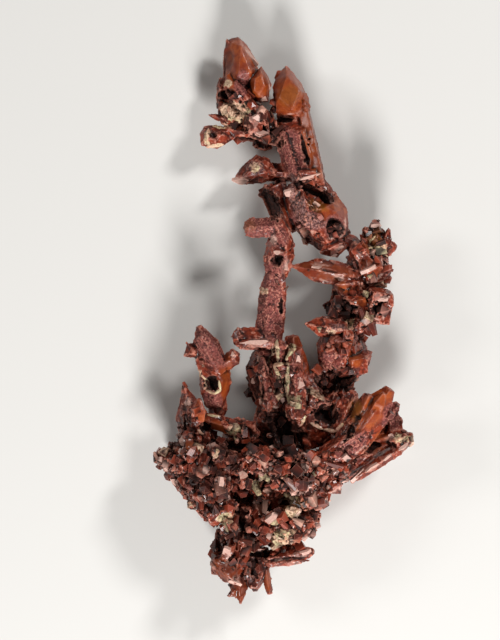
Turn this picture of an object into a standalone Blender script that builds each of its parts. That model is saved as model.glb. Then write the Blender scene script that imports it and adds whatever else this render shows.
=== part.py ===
"""Crystallised copper under a skin of cuprite: a branching mineral specimen lying on its back.

Layout coordinates are millimetres: x to the right and y up along the specimen, from the lower left
corner of its view from above, and z up from the surface it lies on. CENTRE moves them to the part's
origin, the middle of the specimen's footprint.
"""

import math
import random

import bmesh
import bpy
from mathutils import Euler, Matrix, Vector

MM = 0.001
CENTRE = Vector((56.8, 64.1, 0.0))
FORK_GAP = 0.3
STIR = 0.04

# A blade's cross-section: how far its corners lie across and up, as shares of its half sizes.
SECTION = ((1, 0.35), (-0.3, 1), (-1, -0.35), (0.3, -1))

SKIN = (0.30, 0.085, 0.035, 1.0)
SKIN_ROUGHNESS = 0.35
SKIN_METALLIC = 0.15


# Shapes of single crystals: each is the list of its corners, and its solid is their convex hull.

def blade(base, tip, wide, deep, roll=0.0, full=(0.2, 0.65), ends=(0.7, 0.2)):
    """A crystal from base to tip: wide across the view and deep along it, full-sized between full."""
    base = Vector(base)
    tip = Vector(tip)
    axis = tip - base
    across = axis.cross(Vector((0, 0, 1)))
    if across.length < 1e-6:
        across = Vector((1, 0, 0))
    across.normalize()
    up = across.cross(axis).normalized()
    turn = Matrix.Rotation(math.radians(roll), 3, axis)
    across = turn @ across * (wide / 2)
    up = turn @ up * (deep / 2)
    corners = []
    for along, share in ((0.0, ends[0]), (full[0], 1.0), (full[1], 1.0), (1.0, ends[1])):
        middle = base + axis * along
        for a, u in SECTION:
            corners.append(middle + (across * a + up * u) * share)
    return corners


def block(middle, size, turned=(0, 0, 0), cut=0.45):
    """A cube of sides size with every other corner cut back by the share cut."""
    turn = Euler([math.radians(angle) for angle in turned]).to_matrix()
    half = Vector(size) / 2
    corners = []
    for x in (-1, 1):
        for y in (-1, 1):
            for z in (-1, 1):
                for short in range(3 if cut and x * y * z > 0 else 1):
                    corner = [x, y, z]
                    if x * y * z > 0:
                        corner[short] *= 1 - cut
                    corners.append(Vector(middle) + turn @ Vector(c * h for c, h in zip(corner, half)))
    return corners


def octahedron(middle, radius, turned=(0, 0, 0), stretch=1.0):
    """An octahedron, its poles stretched."""
    turn = Euler([math.radians(angle) for angle in turned]).to_matrix()
    poles = [Vector((radius, 0, 0)), Vector((0, radius, 0)), Vector((0, 0, radius * stretch))]
    return [Vector(middle) + turn @ pole * side for pole in poles for side in (-1, 1)]


def chip(outline, middle, front, back=None):
    """A crystal by its outline seen from above at height middle, and by its front and back corners."""
    corners = [Vector((x, y, middle)) for x, y in outline]
    corners += [Vector(point) for point in front]
    if back is None:
        back = [(x, y, 2 * middle - z) for x, y, z in front]
    return corners + [Vector(point) for point in back]


# The pieces between the main forks, from the root up: the solid crystals, then the hollows in them.

def foot():
    crystals = [
        blade((50.0, 27.0, 11.0), (46.6, 12.6, 9.6), 8.6, 10.5, 12, (0.1, 0.72), (0.9, 0.45)),
        chip([(43.2, 21.9), (42.5, 18.4), (42.5, 16.1), (42.8, 13.6), (44.8, 12.1), (47.5, 15.0), (47.0, 22.0)],
             9.5, [(44.6, 19.5, 13.8), (45.0, 14.5, 13.4)]),
        blade((42.9, 16.7, 14.2), (47.4, 12.0, 15.4), 3.6, 3.4, 25, (0.15, 0.7), (0.6, 0.25)),
        blade((44.3, 16.6, 14.6), (47.2, 19.8, 16.8), 2.2, 2.6, -20),
        blade((47.6, 13.5, 10.2), (48.2, 7.4, 11.6), 3.4, 3.8, 15, (0.1, 0.5), (0.9, 0.1)),
        blade((48.6, 10.6, 10.8), (45.6, 9.1, 12.0), 1.7, 2.2, 30),
        blade((51.6, 18.4, 10.4), (50.8, 10.6, 11.6), 5.0, 5.6, -14, (0.1, 0.7), (0.9, 0.4)),
        blade((52.8, 16.4, 11.6), (53.9, 9.5, 12.8), 1.6, 2.0, 10, (0.1, 0.8), (0.8, 0.6)),
        blade((50.6, 15.9, 10.6), (62.8, 18.1, 13.4), 3.4, 4.2, 8, (0.3, 0.78), (0.6, 0.35)),
        blade((53.2, 15.6, 13.0), (61.8, 16.4, 14.4), 1.5, 1.8, 0),
        octahedron((49.6, 20.6, 15.6), 2.6, (20, 35, 10)),
        octahedron((46.0, 22.8, 15.2), 2.4, (50, 5, 30)),
        block((48.6, 15.6, 6.4), (4.4, 5.2, 4.0), (12, 20, 35), 0.0),
        block((45.4, 19.6, 5.8), (4.0, 4.6, 3.6), (30, -12, 10), 0.0),
        octahedron((50.6, 12.6, 14.6), 1.7, (15, 40, 0)),
    ]
    hollows = [
        blade((56.4, 17.0, 16.4), (60.8, 17.6, 16.2), 1.3, 2.8, 0, (0.2, 0.8), (0.4, 0.3)),
        blade((50.4, 17.4, 17.0), (55.4, 19.6, 16.0), 1.9, 6.0, 0, (0.2, 0.8), (0.5, 0.4)),
        octahedron((51.6, 12.6, 16.0), 1.5, (0, 20, 45)),
    ]
    return crystals, hollows


def left_cluster():
    crystals = [
        chip([(32.6, 35.6), (37.0, 39.6), (44.0, 41.0), (48.6, 34.0), (47.2, 26.2), (43.4, 22.6), (39.0, 27.2),
              (34.6, 31.6)],
             9.5, [(37.6, 36.2, 15.6), (43.0, 37.0, 17.6), (45.6, 31.0, 18.0), (42.4, 26.6, 15.4)],
             [(36.6, 35.0, 3.0), (43.6, 36.4, -0.6), (45.0, 29.0, 1.4), (41.4, 36.0, -0.8), (42.6, 33.0, -0.6)]),
        blade((40.4, 36.4, 10.0), (37.0, 50.8, 13.2), 6.0, 7.0, 20, (0.1, 0.62), (0.9, 0.14)),
        blade((39.0, 41.6, 13.8), (40.0, 48.4, 15.2), 3.6, 3.2, -12, (0.2, 0.7), (0.6, 0.3)),
        blade((36.8, 41.4, 11.6), (36.6, 47.4, 12.6), 2.4, 3.6, 15),
        blade((38.4, 36.0, 9.6), (30.9, 36.2, 11.4), 5.4, 6.2, 24, (0.15, 0.6), (0.8, 0.2)),
        blade((35.6, 38.4, 12.8), (34.2, 40.2, 13.4), 1.8, 2.0, 10),
        blade((40.6, 44.4, 12.0), (51.9, 41.2, 12.6), 3.0, 4.0, 18, (0.15, 0.85), (0.7, 0.45)),
        blade((42.6, 45.0, 15.4), (45.3, 39.8, 17.4), 2.4, 2.6, 25, (0.12, 0.85), (0.7, 0.5)),
        blade((38.2, 36.9, 16.4), (37.9, 41.2, 16.8), 2.1, 2.4, -15, (0.15, 0.8), (0.6, 0.6)),
        octahedron((41.2, 34.9, 17.6), 2.0, (10, 20, 40)),
        blade((43.4, 33.8, 17.6), (44.8, 29.6, 19.2), 2.3, 2.4, 20, (0.3, 0.6), (0.4, 0.1)),
        block((43.2, 37.4, 17.0), (2.6, 2.6, 2.4), (25, 30, 10)),
        block((38.6, 31.6, 15.2), (3.4, 3.0, 2.8), (15, 40, 20)),
        octahedron((36.4, 35.2, 15.8), 2.3, (40, 10, 25)),
        block((43.0, 25.8, 15.2), (3.8, 3.2, 3.2), (35, 10, 30)),
        block((41.6, 29.8, 16.8), (3.0, 2.8, 2.6), (10, 35, 50)),
        octahedron((45.6, 27.0, 15.6), 2.5, (0, 30, 15)),
        octahedron((39.4, 33.8, 17.0), 1.9, (30, 0, 20)),
        blade((36.6, 33.2, 14.2), (34.0, 31.0, 14.8), 1.8, 2.2, 12),
        blade((39.6, 28.6, 13.6), (37.9, 27.0, 14.2), 1.9, 2.2, 0),
        block((46.6, 36.0, 15.6), (2.6, 3.2, 2.6), (40, 15, 0)),
        octahedron((44.2, 34.6, 1.8), 3.2, (20, 10, 45)),
        block((37.4, 35.6, 3.8), (4.0, 4.4, 3.6), (20, 30, 15), 0.0),
    ]
    hollows = [
        octahedron((38.9, 31.6, 18.6), 2.0, (0, 0, 30)),
        octahedron((42.6, 41.2, 18.0), 2.2, (20, 0, 0)),
        octahedron((40.9, 42.7, 14.8), 1.7, (0, 20, 0)),
    ]
    return crystals, hollows


def centre_cluster():
    crystals = [
        chip([(48.0, 38.4), (52.4, 39.6), (58.4, 37.8), (63.6, 36.2), (67.6, 32.4), (64.4, 27.4), (59.0, 25.2),
              (52.0, 25.0), (47.4, 29.0)],
             9.5, [(51.4, 35.8, 17.0), (58.0, 33.4, 18.2), (63.0, 31.2, 16.6), (55.0, 29.4, 15.0)],
             [(52.0, 35.0, 2.6), (60.0, 33.0, 1.4), (62.0, 30.0, 1.2), (55.0, 29.6, 3.4)]),
        chip([(51.6, 25.6), (57.6, 27.0), (62.4, 25.0), (62.6, 21.8), (59.6, 20.0), (55.2, 18.6), (52.0, 20.0)],
             11.0, [(54.4, 23.8, 16.8), (59.6, 23.8, 16.6), (57.0, 20.8, 15.4)]),
        block((48.8, 38.4, 7.4), (8.0, 4.6, 5.6), (10, 15, -4), 0.0),
        block((48.4, 35.6, 16.2), (3.0, 3.4, 3.0), (20, 25, 10)),
        octahedron((51.2, 37.0, 17.4), 2.6, (10, 30, 20)),
        octahedron((54.6, 36.2, 18.0), 2.8, (35, 5, 50)),
        block((57.4, 36.0, 17.6), (3.6, 3.0, 3.0), (25, 20, 35)),
        octahedron((60.4, 34.8, 17.6), 2.6, (15, 45, 0)),
        block((55.6, 33.2, 18.4), (3.2, 3.2, 2.8), (40, 10, 20)),
        blade((58.4, 32.4, 17.6), (62.6, 31.4, 18.6), 2.4, 2.4, 20),
        octahedron((63.4, 34.4, 15.8), 2.6, (20, 15, 40)),
        block((61.6, 29.4, 15.6), (4.4, 4.0, 4.0), (15, 35, 10)),
        blade((62.6, 31.6, 16.0), (64.6, 28.0, 17.2), 1.7, 2.0, 10, (0.1, 0.9), (0.8, 0.7)),
        octahedron((63.8, 28.6, 12.4), 2.4, (0, 40, 20)),
        blade((52.6, 29.2, 14.2), (49.4, 32.2, 16.6), 1.8, 2.4, 25),
        blade((51.0, 28.4, 14.4), (56.6, 31.6, 15.6), 1.8, 2.4, 15),
        octahedron((48.6, 31.4, 15.6), 2.3, (45, 0, 15)),
        octahedron((52.6, 23.4, 16.2), 2.2, (30, 20, 0)),
        block((55.4, 25.0, 16.8), (3.0, 2.6, 2.6), (20, 10, 45)),
        octahedron((58.2, 26.2, 16.4), 2.1, (0, 25, 30)),
        block((57.6, 22.4, 16.6), (3.6, 3.0, 2.6), (10, 30, 15)),
        block((61.2, 23.6, 15.4), (2.8, 3.2, 3.0), (35, 15, 25)),
        blade((53.6, 21.4, 13.0), (59.0, 20.2, 15.2), 2.2, 2.6, 5),
        block((62.4, 25.0, 12.6), (2.8, 2.0, 2.4), (20, 20, 0), 0.0),
        octahedron((57.0, 32.0, 1.7), 3.4, (15, 20, 40)),
        block((52.6, 33.4, 4.4), (5.0, 4.6, 4.4), (30, 15, 20), 0.0),
        block((57.4, 24.0, 7.4), (6.0, 4.6, 4.6), (15, 10, 30), 0.0),
    ]
    hollows = [
        octahedron((51.0, 30.0, 17.2), 2.6, (0, 0, 20), 1.2),
        blade((51.4, 26.2, 17.6), (58.6, 27.9, 17.2), 2.2, 8.0, 0, (0.2, 0.8), (0.4, 0.4)),
        octahedron((53.2, 33.2, 20.2), 1.7, (20, 0, 0)),
    ]
    return crystals, hollows


def lower_blade():
    crystals = [
        chip([(82.7, 41.2), (80.8, 42.1), (78.2, 42.2), (72.6, 40.0), (67.0, 37.6), (63.6, 34.4), (66.0, 30.2),
              (68.2, 31.4), (72.6, 33.2), (76.0, 35.0), (80.8, 38.4), (82.4, 40.0)],
             9.6, [(80.4, 40.2, 12.6), (76.0, 38.8, 14.0), (70.4, 34.4, 13.0), (66.6, 34.6, 12.8)],
             [(79.2, 40.4, 7.6), (72.4, 36.4, 5.2), (67.0, 33.8, 4.6)]),
        blade((70.0, 32.0, 12.6), (81.8, 39.8, 14.8), 2.0, 2.6, 10, (0.2, 0.8), (0.5, 0.3)),
        blade((72.0, 38.4, 10.4), (82.2, 41.4, 12.6), 3.4, 4.2, -10, (0.2, 0.7), (0.6, 0.2)),
        blade((64.6, 32.4, 12.8), (70.6, 36.0, 14.6), 4.2, 3.6, 12),
        block((79.6, 39.8, 13.4), (3.0, 2.6, 2.6), (20, 30, 30)),
        octahedron((66.6, 31.2, 13.6), 2.4, (10, 25, 45)),
        octahedron((66.8, 34.2, 1.6), 3.2, (25, 10, 30)),
        blade((68.6, 33.4, 6.0), (72.6, 36.6, 3.6), 5.2, 5.0, 0),
        block((66.0, 32.6, 3.6), (3.8, 4.4, 4.6), (10, 25, 40), 0.0),
    ]
    hollows = [
        blade((73.8, 35.4, 16.2), (77.2, 41.0, 17.4), 3.4, 7.2, 0, (0.2, 0.8), (0.6, 0.5)),
    ]
    return crystals, hollows


def upper_blade():
    crystals = [
        blade((68.2, 37.0, 13.4), (77.7, 50.4, 17.2), 6.6, 6.4, 18, (0.16, 0.7), (0.6, 0.32)),
        blade((70.4, 41.4, 14.6), (73.6, 49.3, 17.0), 3.8, 3.8, 10, (0.2, 0.75), (0.6, 0.5)),
        blade((72.6, 42.4, 16.0), (76.4, 49.6, 19.0), 3.0, 3.0, -15, (0.2, 0.75), (0.5, 0.3)),
        blade((62.6, 35.0, 13.6), (73.4, 42.2, 16.4), 5.4, 5.4, -12, (0.2, 0.7), (0.6, 0.3)),
        blade((66.6, 38.6, 16.2), (72.6, 42.4, 18.2), 2.0, 2.2, 20),
        blade((75.0, 41.4, 9.0), (79.4, 47.4, 11.0), 3.6, 4.2, 30, (0.2, 0.6), (0.6, 0.4)),
        block((78.6, 43.6, 11.0), (2.8, 2.6, 2.6), (30, 20, 10)),
        block((71.4, 43.2, 16.4), (3.0, 3.4, 2.6), (25, 10, 30)),
        blade((71.6, 40.6, 12.0), (76.0, 42.6, 10.4), 3.4, 4.0, 0),
    ]
    hollows = [
        octahedron((71.6, 45.6, 19.6), 1.7, (0, 20, 30)),
    ]
    return crystals, hollows


def left_branch():
    crystals = [
        chip([(41.0, 46.6), (39.8, 51.2), (40.2, 54.6), (42.2, 57.4), (45.4, 56.4), (46.5, 51.6), (45.6, 48.8),
              (44.4, 46.2)],
             11.0, [(42.6, 54.4, 14.4), (44.6, 51.6, 14.8), (43.0, 48.2, 13.8)]),
        blade((43.6, 52.0, 11.6), (39.8, 62.9, 14.0), 5.6, 5.4, 22, (0.2, 0.62), (0.9, 0.22)),
        blade((44.4, 53.4, 13.6), (40.2, 60.8, 15.6), 3.4, 2.6, 0, (0.2, 0.8), (0.6, 0.6)),
        octahedron((38.5, 57.9, 13.2), 2.1, (20, 10, 35)),
        blade((40.6, 58.6, 13.0), (37.6, 58.0, 13.4), 2.0, 2.4, 0),
        blade((44.4, 54.8, 12.6), (47.7, 57.2, 14.0), 3.2, 3.4, 10, (0.3, 0.8), (0.6, 0.5)),
        octahedron((46.7, 57.1, 14.2), 1.5, (10, 30, 20)),
        blade((43.0, 49.6, 9.0), (44.0, 43.6, 8.6), 3.6, 4.4, 20),
        block((42.6, 53.0, 8.0), (4.0, 5.0, 3.4), (20, 15, 10)),
    ]
    hollows = [
        blade((41.6, 53.0, 15.6), (43.2, 50.0, 15.4), 2.4, 6.4, 0, (0.25, 0.75), (0.6, 0.5)),
    ]
    return crystals, hollows


def middle_trunk():
    crystals = [
        chip([(48.9, 54.4), (50.8, 58.2), (54.6, 59.4), (58.0, 55.0), (59.0, 47.0), (57.0, 42.4), (52.8, 43.6),
              (50.4, 49.2)],
             9.5, [(53.0, 55.4, 14.0), (54.6, 48.6, 14.2)],
             [(53.0, 54.0, 3.8), (55.0, 47.0, 3.2)]),
        blade((59.4, 41.6, 11.4), (58.4, 60.9, 13.4), 5.6, 7.6, 18, (0.16, 0.7), (0.8, 0.42)),
        blade((59.8, 44.0, 15.2), (58.6, 58.4, 16.0), 3.4, 3.2, 5, (0.15, 0.8), (0.6, 0.5)),
        blade((58.6, 46.6, 10.6), (65.0, 54.6, 12.2), 6.4, 6.6, -20, (0.2, 0.6), (0.8, 0.3)),
        blade((56.4, 35.6, 8.4), (53.6, 48.4, 10.4), 7.6, 9.0, 14, (0.15, 0.7), (0.8, 0.5)),
        chip([(57.6, 46.0), (62.0, 50.6), (67.4, 49.8), (68.6, 44.6), (66.6, 39.2), (60.6, 37.8)],
             8.6, [(62.0, 46.6, 13.6), (65.4, 43.4, 12.8), (61.4, 41.2, 12.2)],
             [(62.0, 46.0, 2.4), (65.0, 42.4, 2.0), (61.0, 41.0, 2.6)]),
        blade((66.4, 41.4, 11.4), (70.7, 49.8, 14.2), 4.0, 4.4, 24, (0.2, 0.7), (0.6, 0.45)),
        blade((56.4, 52.6, 14.4), (55.8, 60.4, 15.8), 1.3, 2.4, 10, (0.1, 0.85), (0.8, 0.5)),
        blade((55.0, 55.0, 14.6), (58.2, 54.4, 15.6), 1.5, 2.4, 0, (0.2, 0.8), (0.7, 0.6)),
        blade((54.8, 54.6, 14.6), (56.4, 49.6, 15.4), 1.3, 2.4, 0, (0.2, 0.8), (0.7, 0.5)),
        blade((57.7, 54.8, 14.8), (58.2, 48.4, 15.4), 1.3, 2.6, 0, (0.2, 0.8), (0.7, 0.5)),
        blade((53.6, 44.6, 13.4), (52.4, 56.6, 14.4), 2.2, 3.0, 15, (0.2, 0.8), (0.6, 0.4)),
        block((59.2, 46.2, 15.8), (3.6, 2.8, 2.8), (20, 20, 15)),
        block((63.6, 47.6, 13.8), (4.6, 2.4, 2.6), (10, 20, -22)),
        octahedron((55.8, 46.6, 14.6), 1.8, (20, 10, 40)),
        block((52.6, 50.2, 4.6), (4.8, 5.6, 4.2), (25, 10, 20), 0.0),
    ]
    hollows = [
        blade((54.6, 51.8, 18.0), (55.4, 47.6, 17.6), 1.9, 7.0, 0, (0.2, 0.8), (0.6, 0.4)),
        octahedron((57.0, 57.4, 18.2), 2.0, (0, 0, 30), 1.6),
        octahedron((64.9, 45.4, 14.0), 2.8, (0, 0, 25), 1.4),
        octahedron((56.6, 40.6, 15.6), 3.2, (0, 0, 40), 1.3),
    ]
    return crystals, hollows


def ribbon_branch():
    crystals = [
        blade((53.4, 58.6, 12.4), (54.5, 66.8, 12.8), 5.8, 3.8, 6, (0.1, 0.75), (0.9, 0.92)),
        blade((54.0, 63.6, 12.7), (55.0, 73.4, 12.6), 5.9, 3.6, -8, (0.2, 0.6), (0.9, 0.74)),
        chip([(53.0, 72.2), (52.6, 76.4), (53.4, 80.2), (56.0, 82.4), (58.2, 80.4), (58.9, 76.8), (58.0, 73.6),
              (56.6, 71.2)],
             12.4, [(54.8, 77.6, 15.0), (57.2, 77.2, 15.2), (55.6, 73.6, 14.6)]),
        blade((57.4, 77.8, 12.8), (54.2, 84.6, 13.4), 4.0, 4.4, 14, (0.2, 0.7), (0.9, 0.55)),
        blade((56.4, 82.6, 13.2), (48.9, 82.2, 14.2), 3.9, 4.0, 20, (0.25, 0.8), (0.7, 0.7)),
        blade((54.9, 60.2, 12.2), (46.6, 60.4, 13.2), 4.4, 4.4, 16, (0.2, 0.8), (0.8, 0.5)),
        blade((47.2, 59.4, 14.4), (54.6, 59.4, 15.2), 1.6, 2.0, 0, (0.2, 0.8), (0.6, 0.5)),
        octahedron((47.8, 61.2, 13.6), 1.8, (30, 10, 20)),
        blade((53.6, 60.0, 11.4), (53.0, 55.0, 10.0), 4.2, 4.6, 10),
    ]
    hollows = [
        octahedron((55.4, 75.8, 15.8), 1.9, (0, 0, 30), 1.2),
    ]
    return crystals, hollows


def right_branch():
    crystals = [
        chip([(63.6, 55.6), (63.2, 59.2), (65.0, 62.8), (71.0, 63.2), (73.4, 58.4), (71.6, 53.4), (69.8, 51.0),
              (65.6, 52.8)],
             11.5, [(66.4, 60.0, 17.2), (70.2, 59.4, 17.0), (68.4, 54.6, 16.4)]),
        blade((69.0, 62.0, 14.6), (60.8, 63.3, 16.0), 4.2, 4.2, 14, (0.25, 0.6), (0.7, 0.08)),
        blade((69.6, 61.6, 14.2), (74.2, 64.0, 15.4), 2.8, 3.2, -10, (0.3, 0.8), (0.6, 0.5)),
        blade((69.4, 60.6, 10.0), (70.4, 73.6, 10.4), 7.4, 7.4, 20, (0.15, 0.8), (0.8, 0.8)),
        block((75.3, 66.9, 13.4), (4.6, 6.2, 5.2), (12, 18, -8), 0.5),
        blade((70.8, 69.2, 12.6), (66.2, 66.0, 13.4), 3.4, 3.8, 0),
        blade((73.6, 66.0, 10.6), (70.2, 68.6, 10.4), 4.6, 5.0, 0),
        blade((71.6, 71.2, 12.8), (66.8, 71.0, 14.2), 1.9, 2.4, 20, (0.2, 0.6), (0.7, 0.2)),
        block((71.4, 66.6, 13.6), (3.2, 4.2, 3.4), (20, 10, 15)),
        blade((69.4, 55.4, 9.4), (65.8, 46.6, 8.2), 5.6, 6.4, 15, (0.1, 0.7), (0.9, 0.7)),
        octahedron((66.0, 57.4, 16.6), 2.2, (15, 35, 10)),
        block((71.0, 55.2, 15.2), (3.6, 3.4, 3.0), (20, 25, 10)),
        octahedron((69.4, 61.0, 16.4), 1.7, (30, 15, 45)),
        octahedron((72.6, 56.8, 12.6), 2.2, (10, 10, 30)),
        block((68.6, 65.8, 5.8), (5.4, 5.2, 4.4), (20, 15, 30), 0.0),
        block((68.2, 57.4, 5.6), (5.6, 5.8, 4.0), (10, 20, 15), 0.0),
    ]
    hollows = [
        octahedron((75.8, 66.3, 16.4), 2.0, (0, 0, 20), 1.2),
        octahedron((70.0, 65.0, 15.6), 1.8, (0, 0, 40), 1.2),
        blade((64.0, 52.2, 15.0), (71.0, 52.6, 14.6), 3.6, 9.0, 0, (0.2, 0.8), (0.5, 0.5)),
    ]
    return crystals, hollows


def elbow():
    crystals = [
        chip([(69.2, 75.4), (70.8, 79.2), (74.2, 80.2), (77.2, 77.8), (78.2, 74.2), (77.2, 71.2), (74.2, 69.4),
              (70.4, 70.8)],
             9.6, [(72.4, 77.2, 14.2), (75.6, 76.2, 14.6), (74.0, 72.4, 14.8)]),
        blade((74.6, 75.6, 9.4), (75.0, 83.8, 11.4), 4.6, 5.0, 30, (0.2, 0.6), (0.8, 0.3)),
        blade((75.4, 78.4, 10.4), (79.2, 78.6, 11.6), 3.4, 3.6, 15),
        blade((76.6, 76.6, 11.0), (77.6, 82.0, 12.2), 2.2, 2.6, 0, (0.2, 0.7), (0.6, 0.3)),
        blade((73.4, 81.0, 11.2), (72.8, 82.6, 12.0), 1.8, 2.0, 0),
        blade((71.8, 72.6, 11.6), (58.4, 74.7, 13.2), 4.6, 4.4, 16, (0.3, 0.66), (0.7, 0.1)),
        block((74.4, 73.4, 13.4), (3.6, 3.4, 3.0), (25, 15, 20)),
        octahedron((72.0, 77.6, 13.6), 2.4, (15, 30, 0)),
        octahedron((71.8, 71.0, 12.2), 2.0, (0, 20, 40)),
        octahedron((76.8, 73.6, 12.4), 1.9, (20, 0, 15)),
        block((73.0, 75.0, 5.6), (5.4, 5.0, 4.0), (15, 25, 20), 0.0),
    ]
    hollows = [
        octahedron((75.0, 76.8, 14.8), 1.8, (0, 0, 20)),
    ]
    return crystals, hollows


def upper_stem():
    crystals = [
        chip([(56.8, 90.4), (60.4, 92.8), (64.8, 92.8), (67.0, 89.8), (69.5, 86.4), (69.9, 82.0), (69.2, 78.6),
              (67.6, 76.4), (64.2, 77.6), (60.2, 80.4), (56.8, 85.4)],
             7.6, [(60.6, 88.6, 12.4), (67.0, 85.6, 12.6), (65.4, 79.6, 12.0), (61.0, 83.0, 12.0)],
             [(61.0, 88.0, 3.2), (66.0, 84.0, 2.4), (64.6, 80.6, 3.0)]),
        chip([(55.3, 105.2), (61.8, 106.6), (62.0, 101.4), (63.2, 97.8), (64.8, 92.4), (61.0, 89.6), (57.2, 92.6),
              (55.2, 99.2)],
             6.6, [(57.4, 102.0, 10.0), (60.8, 101.6, 10.8), (63.0, 93.6, 11.0), (59.0, 94.0, 10.4)],
             [(58.6, 101.0, 2.0), (61.2, 94.0, 2.2)]),
        blade((60.5, 107.0, 8.6), (64.2, 91.0, 10.4), 2.6, 3.6, -10, (0.1, 0.9), (0.7, 0.7)),
        blade((56.6, 101.6, 9.4), (62.6, 82.0, 11.2), 2.4, 3.0, 10, (0.1, 0.9), (0.7, 0.7)),
        blade((68.6, 79.2, 9.0), (64.0, 77.4, 11.0), 3.0, 3.6, 20),
        blade((69.0, 80.4, 8.0), (72.6, 77.4, 8.4), 3.4, 4.0, 0),
        octahedron((58.4, 89.6, 11.8), 1.8, (20, 30, 10)),
        blade((54.0, 91.2, 7.0), (58.4, 81.6, 8.4), 2.4, 3.4, 15, (0.2, 0.75), (0.4, 0.4)),
        block((55.6, 88.2, 5.6), (4.4, 6.4, 4.6), (12, 20, 28), 0.0),
        octahedron((53.4, 89.6, 5.4), 2.2, (30, 15, 20)),
        block((61.4, 92.8, 11.2), (3.4, 2.2, 2.4), (20, 10, 10)),
        octahedron((64.8, 83.6, 1.7), 3.2, (20, 15, 30)),
        block((60.2, 97.0, 3.0), (4.4, 6.0, 3.4), (15, 20, 15), 0.0),
    ]
    hollows = [
        chip([(59.4, 91.4), (62.4, 92.2), (66.6, 89.6), (67.2, 86.8), (64.2, 85.4), (61.0, 86.6)],
             14.0, [(61.4, 90.0, 8.8), (65.2, 88.2, 8.4), (63.0, 87.4, 9.6)],
             [(61.4, 90.0, 16.0), (65.2, 88.2, 16.0)]),
        octahedron((66.9, 82.4, 12.6), 2.5, (0, 0, 25), 1.2),
        blade((59.4, 103.4, 13.2), (60.2, 95.0, 13.4), 2.5, 4.4, 0, (0.15, 0.85), (0.7, 0.5)),
        blade((62.4, 81.0, 15.0), (60.4, 87.6, 14.8), 2.6, 5.2, 0, (0.2, 0.8), (0.5, 0.5)),
    ]
    return crystals, hollows


def side_spike():
    crystals = [
        chip([(46.6, 91.8), (47.9, 94.3), (49.5, 95.9), (51.3, 97.1), (53.9, 96.4), (55.4, 93.9), (54.6, 92.4),
              (52.9, 91.4), (49.3, 91.0)],
             7.4, [(49.0, 92.6, 9.4), (51.4, 95.2, 10.0), (53.4, 93.4, 9.6)],
             [(50.2, 93.4, 4.6), (52.6, 94.2, 4.4)]),
        blade((52.0, 94.0, 6.6), (58.0, 93.4, 5.8), 3.6, 3.8, 15, (0.2, 0.8), (0.9, 0.8)),
        octahedron((54.6, 93.6, 8.8), 1.2, (20, 10, 30)),
        octahedron((51.6, 94.4, 9.4), 1.4, (10, 30, 0)),
    ]
    return crystals, []


def crown_left():
    crystals = [
        chip([(44.7, 117.8), (45.2, 120.2), (47.6, 120.9), (49.5, 119.2), (51.0, 116.6), (51.9, 114.2),
              (50.4, 110.0), (47.0, 107.6), (44.4, 110.6)],
             6.6, [(48.2, 118.6, 9.6), (47.8, 113.0, 10.4), (50.2, 113.4, 10.2)],
             [(47.6, 117.6, 3.4), (47.4, 111.6, 2.4)]),
        chip([(52.3, 114.9), (53.6, 113.0), (54.3, 111.4), (54.0, 109.4), (53.7, 107.6), (51.8, 107.5), (50.1, 108.6),
              (49.8, 112.4)],
             7.8, [(50.8, 109.8, 11.4), (51.0, 112.0, 11.3), (52.2, 113.2, 11.1), (53.0, 110.6, 11.5),
                   (51.8, 108.8, 11.5)]),
        blade((45.4, 113.0, 8.0), (52.0, 102.4, 8.8), 4.0, 4.6, 20, (0.2, 0.7), (0.5, 0.7)),
        blade((47.0, 111.6, 10.0), (53.4, 103.0, 10.4), 1.6, 2.0, 15, (0.2, 0.8), (0.6, 0.6)),
        blade((45.6, 109.4, 9.6), (50.8, 104.0, 10.0), 1.5, 2.0, 15, (0.2, 0.8), (0.6, 0.6)),
        blade((44.4, 112.6, 6.6), (43.8, 106.4, 7.0), 1.7, 2.6, 15),
        chip([(43.6, 107.9), (48.8, 106.9), (49.8, 104.0), (46.8, 102.6), (44.2, 103.2), (43.4, 105.2)],
             7.8, [(45.4, 106.4, 9.6), (47.6, 104.6, 9.8)]),
        blade((45.8, 104.0, 8.0), (41.7, 105.0, 8.6), 1.3, 1.6, 10),
        chip([(39.9, 101.4), (40.7, 102.9), (42.6, 103.1), (46.8, 102.6), (47.2, 100.4), (43.4, 98.2), (40.2, 99.0)],
             7.2, [(41.6, 101.2, 9.4), (44.4, 101.0, 9.6), (43.0, 99.6, 9.2)]),
        blade((45.6, 102.4, 6.8), (56.4, 100.6, 6.6), 3.6, 5.0, 18, (0.2, 0.8), (0.6, 0.8)),
        block((50.6, 103.2, 9.4), (3.0, 3.6, 2.8), (15, 25, 10)),
        blade((49.8, 101.4, 9.0), (54.6, 100.2, 9.8), 2.0, 2.4, 20),
        block((53.4, 103.6, 7.6), (2.6, 3.8, 3.4), (10, 20, 25), 0.0),
        octahedron((49.6, 104.2, 1.5), 3.0, (25, 15, 40)),
        blade((50.6, 99.8, 5.4), (54.6, 98.6, 5.4), 2.4, 3.0, 0),
        block((48.6, 108.0, 3.2), (4.0, 4.6, 3.8), (10, 20, 30), 0.0),
        block((45.8, 108.9, 5.2), (3.4, 4.6, 4.0), (15, 10, 20), 0.0),
    ]
    hollows = [
        octahedron((42.6, 101.0, 10.4), 1.1, (0, 0, 20)),
        octahedron((46.0, 108.2, 11.2), 1.3, (0, 0, 40)),
    ]
    return crystals, hollows


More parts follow.
